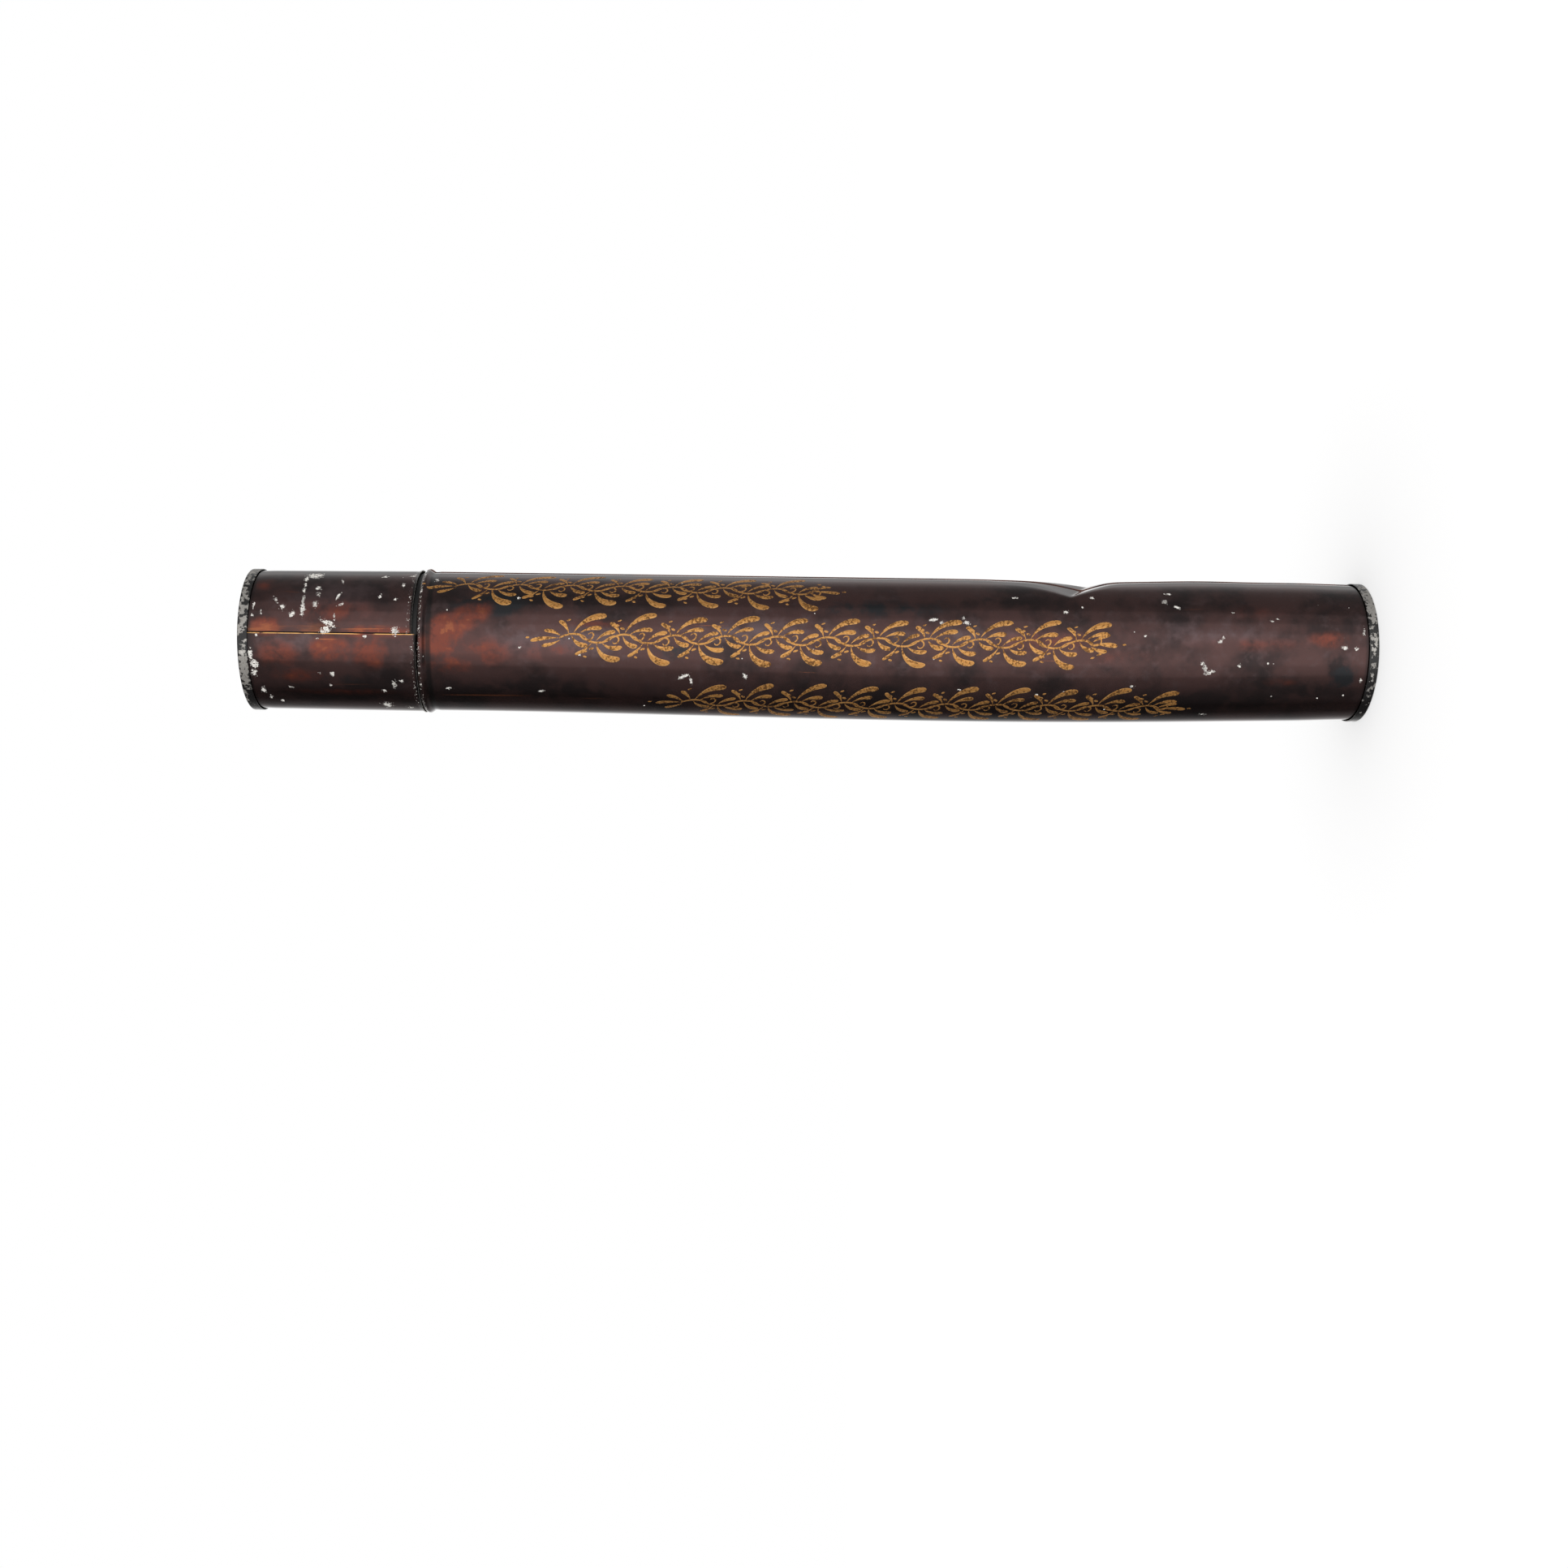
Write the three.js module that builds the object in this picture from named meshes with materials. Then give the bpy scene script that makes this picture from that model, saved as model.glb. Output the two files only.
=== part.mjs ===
// A japanned tinplate document tube with a slip-on cap, standing on its closed end.
// Millimetres, +Z up. The axis of the tube is Z and the bottom face lies at Z = 0.
// Angles turn about Z from the front, -Y, towards the right, +X.

import * as THREE from 'three';

// Overall sizes
const overallLength = 406.4;
const bodyRadius = 25.2;
const sheet = 0.3;
const solder = 0.1;

// The cap: its length from the end face to the longest point of its mouth
const capLength = 62.75;
const capClearance = 0.27;
const capTaper = 0.48;
const capDrawIn = 0.1;
const capDrawInLength = 5;
const capRestGap = 0.15;
const lipFlare = 0.35;
const lipLength = 1.8;
const mouthSkew = 1.5;
const mouthSkewFade = 9;

// The body: draw-in at its foot, bead and swaged groove at its mouth
const footDrawIn = 0.4;
const footDrawInLength = 26;
const beadHeight = 0.9;
const beadHalfWidth = 2.2;
const beadToEdge = 1.3;
const beadToGroove = 2.3;
const grooveDepth = 0.15;
const grooveHalfWidth = 2;

// The collar inside the mouth of the body, which the cap slides over
const collarReach = 33.5;
const collarSeat = 14;
const collarLeadIn = 0.25;
const collarLeadInLength = 2.5;

// The end discs: shallow pans with a skirt round the end of each wall
const skirtDepth = 3.5;
const bendInside = 0.15;

// The soldered lap seams
const lapWidth = 6;
const lapBlend = 12;
const bodySeamAngle = THREE.MathUtils.degToRad(84);
const capSeamAngle = THREE.MathUtils.degToRad(1.5);

// Wear: the body has bowed and gone slightly oval, and a creased dent lies on its right,
// in a soft hollow with a soft shoulder below it
const bow = 1;
const oval = 0.95;
const bowSkew = 0.79;
const bowPower = 1.85;
const dentAngle = THREE.MathUtils.degToRad(76);
const dentHeight = 104.6;
const dentDepth = 4;
const dentTowardsMouth = 32;
const dentTowardsFoot = 21;
const dentRounding = 0.35;
const creaseSlope = 9.7;
const creaseHalfAngle = THREE.MathUtils.degToRad(34);
const shoulderHeight = 60;
const shoulderRise = 0.25;
const shoulderHalfLength = 27;
const hollowDepth = 0.5;
const hollowHalfLength = 50;
const softHalfAngle = THREE.MathUtils.degToRad(48);

// Fineness of the facets
const turnSegments = 56;
const bendSegments = 2;
const leastRow = 0.05;

const fullTurn = 2 * Math.PI;

// Places that follow from the sizes above
const wallFoot = sheet + solder;
const bodyEdge = overallLength - capLength - capRestGap;
const beadCrown = bodyEdge - beadToEdge;
const grooveCentre = beadCrown - beadToGroove;
const capMouth = overallLength - capLength;
const collarTop = bodyEdge + collarReach;
const collarRadius = bodyRadius - sheet - solder;
const capGrowth = capTaper * (collarTop - capMouth) / capLength;
const capMouthRadius = collarRadius + capClearance + capGrowth + sheet;
const capEndRadius = capMouthRadius - capTaper - capDrawIn;
const footRadius = bodyRadius - footDrawIn;

function smooth(value) {
  const t = THREE.MathUtils.clamp(value, 0, 1);
  return t * t * (3 - 2 * t);
}

// A rounded hump: 1 at the middle, 0 at and beyond the half width
function hump(distance, halfWidth) {
  const t = Math.min(Math.abs(distance) / halfWidth, 1);
  return 0.5 + 0.5 * Math.cos(Math.PI * t);
}

// The lesser of two lengths, with the corner between them rounded
function roundedMin(a, b, rounding) {
  const t = Math.max(rounding - Math.abs(a - b), 0) / rounding;
  return Math.min(a, b) - t * t * rounding / 4;
}

// The signed turn from one angle to another, within half a turn
function turnFrom(angle, from) {
  const turn = (angle - from) % fullTurn;
  if (turn > Math.PI) return turn - fullTurn;
  if (turn < -Math.PI) return turn + fullTurn;
  return turn;
}

function grooveAt(z) {
  return grooveDepth * hump(z - grooveCentre, grooveHalfWidth);
}

// Outside radius of the body as it was rolled, along its length
function bodyProfile(z) {
  const drawIn = footDrawIn * (1 - smooth((z - wallFoot) / footDrawInLength));
  const bead = beadHeight * hump(z - beadCrown, beadHalfWidth);
  return bodyRadius - drawIn + bead - grooveAt(z);
}

// How far along the crease of the dent has moved at an angle, as it runs aslant
function creaseDrop(angle) {
  const turn = turnFrom(angle, dentAngle);
  return creaseSlope * THREE.MathUtils.clamp(turn, -creaseHalfAngle, creaseHalfAngle);
}

// Outside radius of the worn body. The dent is a flat fold: two planes that meet in a crease
// and come out of the wall along straight lines.
function wornRadius(angle, z) {
  const along = THREE.MathUtils.clamp(z / grooveCentre, 0, 1);
  const swell = Math.sin(Math.PI * along ** bowSkew) ** bowPower;
  const squash = -bow * Math.sin(angle) - oval * Math.cos(2 * angle);
  const rise = shoulderRise * hump(z - shoulderHeight, shoulderHalfLength);
  const hollow = hollowDepth * hump(z - dentHeight, hollowHalfLength);
  const soft = (rise - hollow) * hump(turnFrom(angle, Math.PI / 2), softHalfAngle);
  const wall = bodyProfile(z) + swell * squash + soft;

  const fromCrease = z - dentHeight + creaseDrop(angle);
  const reach = fromCrease > 0 ? dentTowardsMouth : dentTowardsFoot;
  const depth = dentDepth * Math.max(1 - Math.abs(fromCrease) / reach, 0) ** 2;
  const turn = turnFrom(angle, dentAngle);
  if (depth === 0 || Math.abs(turn) > 2 * creaseHalfAngle) return wall;
  return roundedMin(wall, (bodyRadius - depth) / Math.cos(turn), dentRounding);
}

// Outside radius of the cap: a slight taper, a flared lip and a drawn-in end
function capProfile(z) {
  const fromMouth = z - capMouth;
  const taper = capTaper * fromMouth / capLength;
  const lip = lipFlare * Math.max(1 - fromMouth / lipLength, 0) ** 2;
  const drawInStart = overallLength - skirtDepth - capDrawInLength;
  const drawIn = capDrawIn * smooth((z - drawInStart) / capDrawInLength);
  return capMouthRadius - taper + lip - drawIn;
}

// A point of the wall, a distance out from its outside face along the face's own normal
function wallPoint(profile, radius, angle, z, out) {
  const step = 0.01;
  const slope = (profile(z + step) - profile(z - step)) / (2 * step);
  const length = Math.hypot(1, slope);
  const r = radius + out / length;
  return new THREE.Vector3(r * Math.sin(angle), -r * Math.cos(angle), z - out * slope / length);
}

// A sheet rolled into a tube and soldered along a lap. The outer layer starts at the seam with
// its free edge showing, lies on the inner layer over the lap, and then settles down to the
// plain wall. Inside, the inner layer ends at the far side of the lap in the same way.
// A row of the sheet is placed by place(angle, row, out, turn), with turn along the sheet.
function rolledSheet(rows, seamAngle, direction, place) {
  const lapTurn = lapWidth / bodyRadius;
  const blendTurn = lapBlend / bodyRadius;
  const columns = Array.from({ length: turnSegments + 1 }, (_, i) => fullTurn * i / turnSegments);
  const points = [];
  for (const row of rows) {
    for (const turn of columns) {
      const layer = turn === fullTurn ? 0 : 1 - smooth((turn - lapTurn) / blendTurn);
      points.push(place(seamAngle + direction * turn, row, sheet * layer, turn));
    }
    for (const turn of columns) {
      const layer = turn === fullTurn ? 0 : 1 - smooth(turn / blendTurn);
      const along = turn + lapTurn;
      points.push(place(seamAngle + direction * along, row, sheet * (layer - 1), along));
    }
  }
  return closeLoops(points, rows.length, columns.length, direction);
}

// Joins stacked pairs of loops, outside and inside, into one closed wall with flat ends
function closeLoops(points, rowCount, loopCount, direction) {
  const faces = [];
  const addFace = (a, b, c) => faces.push(...(direction > 0 ? [a, b, c] : [a, c, b]));
  for (let row = 0; row + 1 < rowCount; row += 1) {
    for (let i = 0; i < loopCount; i += 1) {
      const next = (i + 1) % loopCount;
      const outside = 2 * loopCount * row;
      const inside = outside + loopCount;
      const up = 2 * loopCount;
      addFace(outside + i, outside + next, outside + next + up);
      addFace(outside + i, outside + next + up, outside + i + up);
      addFace(inside + i, inside + next + up, inside + next);
      addFace(inside + i, inside + i + up, inside + next + up);
    }
  }
  for (const row of [0, rowCount - 1]) {
    const start = 2 * loopCount * row;
    const flat = points.slice(start, start + 2 * loopCount).map((p) => new THREE.Vector2(p.x, p.y));
    const loop = flat.slice(0, loopCount);
    const hole = flat.slice(loopCount);
    for (const [a, b, c] of THREE.ShapeUtils.triangulateShape(loop, [hole])) {
      const turned = THREE.ShapeUtils.area([flat[a], flat[b], flat[c]]) > 0;
      const face = turned === (row > 0) ? [a, b, c] : [a, c, b];
      faces.push(...face.map((index) => start + index));
    }
  }
  const geometry = new THREE.BufferGeometry();
  const positions = points.flatMap((p) => [p.x, p.y, p.z]);
  geometry.setAttribute('position', new THREE.Float32BufferAttribute(positions, 3));
  geometry.setIndex(faces);
  geometry.computeVertexNormals();
  return geometry;
}

// Evenly spaced heights after one height, up to and including another
function spread(from, to, count) {
  return Array.from({ length: count }, (_, i) => THREE.MathUtils.lerp(from, to, (i + 1) / count));
}

function inOrder(rows) {
  rows.sort((a, b) => a - b);
  return rows.filter((z, i) => i === 0 || z - rows[i - 1] > leastRow);
}

function bodyRows() {
  const drawInEnd = wallFoot + footDrawInLength;
  const dentStart = dentHeight - dentTowardsFoot;
  const dentMiddle = dentHeight + dentTowardsMouth / 2;
  const dentEnd = dentHeight + dentTowardsMouth;
  const grooveStart = grooveCentre - grooveHalfWidth;
  return inOrder([
    wallFoot,
    skirtDepth,
    ...spread(skirtDepth, drawInEnd, 3),
    ...spread(drawInEnd, shoulderHeight, 2),
    ...spread(shoulderHeight, dentStart, 2),
    ...spread(dentStart, dentHeight, 4),
    ...spread(dentHeight, dentMiddle, 3),
    ...spread(dentMiddle, dentEnd, 2),
    ...spread(dentEnd, grooveStart, 6),
    ...spread(grooveStart, grooveCentre, 2),
    ...spread(grooveCentre, beadCrown, 4),
    ...spread(beadCrown, bodyEdge, 2),
  ]);
}

function capRows() {
  const skirtEdge = overallLength - skirtDepth;
  return inOrder([
    capMouth,
    ...spread(capMouth, capMouth + lipLength, 3),
    ...spread(capMouth + lipLength, capMouth + mouthSkewFade, 2),
    ...spread(capMouth + mouthSkewFade, skirtEdge - capDrawInLength, 2),
    ...spread(skirtEdge - capDrawInLength, skirtEdge, 2),
    overallLength - wallFoot,
  ]);
}

// Rows of the body follow the crease of the dent, so that it stays sharp
function bodyGeometry() {
  const place = (angle, row, out) => {
    const turn = Math.abs(turnFrom(angle, dentAngle));
    const near = Math.max(1 - Math.abs(row - dentHeight) / (2 * dentTowardsMouth), 0);
    const z = row - creaseDrop(angle) * near * (1 - smooth(turn / creaseHalfAngle - 1));
    return wallPoint(bodyProfile, wornRadius(angle, z), angle, z, out);
  };
  return rolledSheet(bodyRows(), bodySeamAngle, 1, place);
}

// The cap's blank was cut out of square, so its mouth steps at the seam
function capGeometry() {
  const place = (angle, row, out, turn) => {
    const near = 1 - smooth((row - capMouth) / mouthSkewFade);
    const lift = mouthSkew * smooth(turn / fullTurn) * near;
    return wallPoint((z) => capProfile(z - lift), capProfile(row), angle, row + lift, out);
  };
  return rolledSheet(capRows(), capSeamAngle, -1, place);
}

function revolve(profile) {
  const points = profile.map(([r, z]) => new THREE.Vector2(r, z));
  return new THREE.LatheGeometry(points, turnSegments).rotateX(Math.PI / 2);
}

// A butt-jointed ring that shares the groove of the body and is drawn in at its open end
function collarGeometry() {
  const foot = bodyEdge - collarSeat;
  const leadIn = collarTop - collarLeadInLength;
  const levels = [foot, grooveCentre - grooveHalfWidth, grooveCentre];
  levels.push(grooveCentre + grooveHalfWidth, leadIn, (leadIn + collarTop) / 2, collarTop);
  const radius = (z) => {
    const closing = Math.max(z - leadIn, 0) / collarLeadInLength;
    return collarRadius - grooveAt(z) - collarLeadIn * closing ** 2;
  };
  const outside = levels.map((z) => [radius(z), z]);
  const inside = levels.map((z) => [radius(z) - sheet, z]).reverse();
  return revolve([...outside, ...inside, outside[0]]);
}

// A flat disc with a bent edge and a skirt, seen as a pan with its flat face down
function panGeometry(wallRadius) {
  const inner = wallRadius + sheet + solder;
  const outer = inner + sheet;
  const skirtBend = bendInside + sheet;
  const arc = (radius, from, to) => Array.from({ length: bendSegments + 1 }, (_, i) => {
    const angle = THREE.MathUtils.lerp(from, to, i / bendSegments);
    return [outer - skirtBend + radius * Math.cos(angle), skirtBend + radius * Math.sin(angle)];
  });
  const outside = arc(skirtBend, -Math.PI / 2, 0);
  const inside = arc(bendInside, 0, -Math.PI / 2);
  return revolve([[0, 0], ...outside, [outer, skirtDepth], [inner, skirtDepth], ...inside, [0, sheet]]);
}

function addPiece(parent, name, geometry, color, metalness, roughness) {
  const material = new THREE.MeshStandardMaterial({ color, metalness, roughness });
  const mesh = new THREE.Mesh(geometry, material);
  mesh.name = name;
  parent.add(mesh);
  return mesh;
}

const tube = new THREE.Group();
addPiece(tube, 'body_tube', bodyGeometry(), 0x3f2c2a, 0.3, 0.3);
addPiece(tube, 'inner_collar', collarGeometry(), 0x7d7873, 0.9, 0.45);
addPiece(tube, 'bottom_disc', panGeometry(footRadius), 0x8a8681, 0.8, 0.5);

const cap = new THREE.Group();
addPiece(cap, 'cap_sleeve', capGeometry(), 0x4a3230, 0.3, 0.3);
const capDisc = addPiece(cap, 'cap_disc', panGeometry(capEndRadius), 0x8a8681, 0.8, 0.5);
capDisc.rotation.x = Math.PI;
capDisc.position.z = overallLength;

const documentTube = new THREE.Group();
documentTube.add(tube, cap);

export default documentTube;
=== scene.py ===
import math

import bpy
import numpy as np
from bpy.props import FloatProperty, FloatVectorProperty, IntProperty, PointerProperty
from bpy.types import Operator, Panel, PropertyGroup
from mathutils import Matrix, Vector


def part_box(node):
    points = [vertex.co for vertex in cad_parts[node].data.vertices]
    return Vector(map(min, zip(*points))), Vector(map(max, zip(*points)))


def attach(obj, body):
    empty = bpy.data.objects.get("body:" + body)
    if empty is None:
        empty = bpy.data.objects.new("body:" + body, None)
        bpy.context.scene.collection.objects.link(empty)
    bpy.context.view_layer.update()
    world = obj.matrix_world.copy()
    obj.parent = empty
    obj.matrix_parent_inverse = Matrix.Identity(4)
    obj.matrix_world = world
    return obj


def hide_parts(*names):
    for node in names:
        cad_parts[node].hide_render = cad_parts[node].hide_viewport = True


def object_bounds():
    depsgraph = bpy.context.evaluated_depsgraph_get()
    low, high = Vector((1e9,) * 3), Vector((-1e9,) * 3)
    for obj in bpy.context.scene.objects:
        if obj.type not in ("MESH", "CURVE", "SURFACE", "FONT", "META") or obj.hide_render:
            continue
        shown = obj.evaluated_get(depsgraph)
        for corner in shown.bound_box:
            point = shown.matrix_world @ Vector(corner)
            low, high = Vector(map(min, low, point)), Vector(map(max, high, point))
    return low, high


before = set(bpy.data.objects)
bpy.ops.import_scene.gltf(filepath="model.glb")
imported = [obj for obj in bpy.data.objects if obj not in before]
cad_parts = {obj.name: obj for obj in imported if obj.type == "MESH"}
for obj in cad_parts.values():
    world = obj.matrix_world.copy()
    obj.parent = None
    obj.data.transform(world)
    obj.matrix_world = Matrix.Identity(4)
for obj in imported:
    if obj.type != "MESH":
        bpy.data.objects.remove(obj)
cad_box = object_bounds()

# A japanned tinplate document tube, dressed in detail around its CAD frame.
# Metres, +Z up along the tube. Angles turn about Z from the front, -Y, towards +X.

bl_info = {
    "name": "Document tube",
    "version": (1, 0, 0),
    "blender": (4, 5, 0),
    "location": "View3D > Sidebar > Document tube",
    "description": "Dresses a japanned tinplate document tube around its CAD frame",
    "category": "Object",
}

MM = 0.001
FULL_TURN = 2 * math.pi


def length(name, description, millimetres):
    """A length property, given in millimetres and kept in metres."""
    return FloatProperty(
        name=name, description=description, default=millimetres * MM, unit="LENGTH", precision=5)


def angle(name, description, degrees):
    """An angle property, given in degrees."""
    return FloatProperty(name=name, description=description, default=math.radians(degrees), subtype="ANGLE")


def colour(name, description, default):
    """A colour property, as linear red, green and blue."""
    return FloatVectorProperty(
        name=name, description=description, default=default, subtype="COLOR", min=0, max=1)


class TubeSizes(PropertyGroup):
    """Sizes of the sheet metal. The edge rounding, the crevice, the dish and the waver are finer
    than the CAD model, and the rest are the CAD model's own."""

    overall_length: FloatProperty(
        name="Overall length", description="Bottom face to the cap's end face",
        default=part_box("cap_disc")[1].z, unit="LENGTH", precision=5)
    body_radius: length("Body radius", "Outside radius of the body as rolled", 25.2)
    sheet: length("Sheet", "Thickness of the tinplate", 0.3)
    solder: length("Solder", "Film of solder between two sheets", 0.1)
    edge_round: length("Edge rounding", "Run over which a sheet's cut edge rises", 0.05)
    crevice_depth: length("Crevice depth", "Depth of the hairline beside a lap's free edge", 0.12)
    crevice_width: length("Crevice width", "Width of the hairline beside a lap's free edge", 0.3)
    lap_width: length("Lap width", "Width of the soldered lap", 6)
    lap_blend: length("Lap blend", "Run over which the outer layer settles down", 12)
    body_seam: angle("Body seam", "Angle of the free edge of the body's lap", 84)
    foot_draw_in: length("Foot draw-in", "How much the body narrows at its foot", 0.4)
    foot_draw_in_length: length("Foot draw-in length", "Length over which it narrows", 26)
    bead_height: length("Bead height", "How far the bead stands out", 0.9)
    bead_half_width: length("Bead half width", "Half of the bead's width", 2.2)
    bead_to_edge: length("Bead to edge", "From the bead's crown to the body's edge", 1.3)
    bead_to_groove: length("Bead to groove", "From the bead's crown to the groove", 2.3)
    groove_depth: length("Groove depth", "Depth of the swaged groove", 0.15)
    groove_half_width: length("Groove half width", "Half of the groove's width", 2)
    collar_reach: length("Collar reach", "How far the collar stands out of the body", 33.5)
    collar_seat: length("Collar seat", "How far the collar goes into the body", 14)
    collar_lead_in: length("Collar lead-in", "How much the collar narrows at its end", 0.25)
    collar_lead_in_length: length("Collar lead-in length", "Length over which it narrows", 2.5)
    skirt_depth: length("Skirt depth", "Depth of the end discs' skirts", 3.5)
    bend_inside: length("Bend inside", "Inside radius of the end discs' bends", 0.15)
    disc_dish: length("Disc dish", "How far the middle of an end disc has sunk", 0.25)
    rim_waver: length("Rim waver", "How far a hand-set skirt strays from round", 0.04)

    cap_length: length("Cap length", "End face to the longest point of the mouth", 62.75)
    cap_rest_gap: length("Cap rest gap", "Gap between the closed cap and the body's edge", 0.15)
    cap_clearance: length("Cap clearance", "Room between cap and collar", 0.27)
    cap_taper: length("Cap taper", "How much the cap narrows towards its end", 0.48)
    cap_draw_in: length("Cap draw-in", "How much more it narrows under its disc", 0.1)
    cap_draw_in_length: length("Cap draw-in length", "Length over which it narrows there", 5)
    cap_seam: angle("Cap seam", "Angle of the free edge of the cap's lap", 1.5)
    lip_flare: length("Lip flare", "How far the cap's mouth flares", 0.35)
    lip_length: length("Lip length", "Length of the flare", 1.8)
    mouth_skew: length("Mouth skew", "How far the mouth is out of square at the seam", 1.5)
    mouth_skew_fade: length("Mouth skew fade", "Length over which the skew fades", 9)

    @property
    def wall_foot(self):
        return self.sheet + self.solder

    @property
    def body_edge(self):
        return self.overall_length - self.cap_length - self.cap_rest_gap

    @property
    def bead_crown(self):
        return self.body_edge - self.bead_to_edge

    @property
    def groove_centre(self):
        return self.bead_crown - self.bead_to_groove

    @property
    def cap_mouth(self):
        return self.overall_length - self.cap_length

    @property
    def collar_top(self):
        return self.body_edge + self.collar_reach

    @property
    def collar_radius(self):
        return self.body_radius - self.sheet - self.solder

    @property
    def cap_mouth_radius(self):
        growth = self.cap_taper * (self.collar_top - self.cap_mouth) / self.cap_length
        return self.collar_radius + self.cap_clearance + growth + self.sheet

    @property
    def cap_end_radius(self):
        return self.cap_mouth_radius - self.cap_taper - self.cap_draw_in

    @property
    def foot_radius(self):
        return self.body_radius - self.foot_draw_in


class WearSizes(PropertyGroup):
    """The bow, the dent and the soft hollows of the worn body. The two roundings are softer than
    the CAD model's, and the rest are its own."""

    bow: length("Bow", "How far the middle of the body has bowed", 1)
    oval: length("Oval", "How far the middle has gone out of round", 0.95)
    bow_skew: FloatProperty(name="Bow skew", description="Moves the middle of the bow", default=0.79)
    bow_power: FloatProperty(name="Bow power", description="Flattens the ends of the bow", default=1.85)
    dent_angle: angle("Dent angle", "Where the dent lies round the body", 76)
    dent_height: length("Dent height", "Height of the dent's crease", 104.6)
    dent_depth: length("Dent depth", "Depth at the crease", 4)
    dent_towards_mouth: length("Dent towards mouth", "Reach of the upper plane", 32)
    dent_towards_foot: length("Dent towards foot", "Reach of the lower plane", 21)
    dent_rounding: length("Dent rounding", "Rounding where the planes leave the wall", 0.8)
    crease_rounding: length("Crease rounding", "Rounding along the crease", 0.7)
    crease_slope: length("Crease slope", "Drop of the crease for each radian round", 9.7)
    crease_half_angle: angle("Crease half angle", "Half of the angle the crease spans", 34)
    shoulder_height: length("Shoulder height", "Height of the soft shoulder", 60)
    shoulder_rise: length("Shoulder rise", "How far the shoulder stands out", 0.25)
    shoulder_half_length: length("Shoulder half length", "Half of the shoulder's length", 27)
    hollow_depth: length("Hollow depth", "Depth of the soft hollow round the dent", 0.5)
    hollow_half_length: length("Hollow half length", "Half of the hollow's length", 50)
    soft_half_angle: angle("Soft half angle", "Half of the angle that hollow and shoulder span", 48)


class Fineness(PropertyGroup):
    """How finely the surfaces are divided."""

    columns: IntProperty(name="Columns", description="Columns round a rolled sheet", default=288, min=24)
    rounds: IntProperty(name="Rounds", description="Columns round a disc or collar", default=256, min=24)
    stroke_rings: IntProperty(
        name="Stroke rings", description="Rings along a brush stroke", default=20, min=6)
    smooth_angle: angle("Smooth angle", "Sharpest bend that is still shaded smooth", 35)


class Finishes(PropertyGroup):
    """Colours of the japan, the tin and the gilding."""

    japan: colour("Japan", "Brown japan over bright tin", (0.098, 0.046, 0.042))
    japan_dark: colour("Dark japan", "Where the japan lies thick", (0.030, 0.017, 0.017))
    japan_blue: colour("Blue-black japan", "Where the japan has cooled to blue-black", (0.026, 0.027, 0.031))
    japan_red: colour("Red japan", "Where the japan is thin and glows red", (0.21, 0.050, 0.030))
    japan_mauve: colour("Mauve japan", "Where the japan has a violet bloom", (0.132, 0.084, 0.086))
    copper: colour("Copper", "Japan rubbed thin to an orange brown", (0.42, 0.13, 0.05))
    # Crevice: grime in seams, and painted shade in the seam's crevice, the groove, the gaps by the cap's
    # mouth and along the skirts; on the rims, japan left in black spots.
    crevice: colour("Crevice", "Dirt in seams", (0.006, 0.005, 0.005))
    tin: colour("Tin", "Bright tin where the japan has flaked", (0.93, 0.90, 0.84))
    tin_dull: colour("Dull tin", "Bare tin that has gone dull", (0.46, 0.44, 0.41))
    tin_tarnish: colour("Tarnish", "Brown tarnish on bare tin", (0.20, 0.16, 0.12))
    gold: colour("Gold", "Gilding", (0.58, 0.25, 0.060))
    # Light gold is also the cap seam's rubbed edge with its painted highlight.
    gold_light: colour("Light gold", "Thick edge of a gilded stroke", (0.92, 0.50, 0.17))
    gold_dark: colour("Worn gold", "Gilding rubbed down to the japan", (0.13, 0.055, 0.022))


# Shapes


def smooth(value):
    """Rises from 0 to 1 without a corner: three times the square less twice the cube."""
    t = np.clip(value, 0, 1)
    return t * t * (3 - 2 * t)


def hump(distance, half_width):
    """A rounded hump: half of one plus the cosine, 1 at the middle and 0 from the half width on."""
    t = np.minimum(np.abs(distance) / half_width, 1)
    return 0.5 + 0.5 * np.cos(math.pi * t)


def turn_from(angles, start):
    """The signed turn from one angle to others, within half a turn."""
    return (angles - start + math.pi) % FULL_TURN - math.pi


def groove_at(s, z):
    """Depth of the swaged groove: one hump."""
    return s.groove_depth * hump(z - s.groove_centre, s.groove_half_width)


def body_profile(s, z):
    """Radius of the body as rolled: the plain radius, less the foot's draw-in, with bead and groove."""
    draw_in = s.foot_draw_in * (1 - smooth((z - s.wall_foot) / s.foot_draw_in_length))
    bead = s.bead_height * hump(z - s.bead_crown, s.bead_half_width)
    return s.body_radius - draw_in + bead - groove_at(s, z)


def crease_drop(w, angles):
    """The crease runs aslant: its drop grows evenly with the turn, within its half angle."""
    turn = turn_from(angles, w.dent_angle)
    return w.crease_slope * np.clip(turn, -w.crease_half_angle, w.crease_half_angle)


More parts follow.
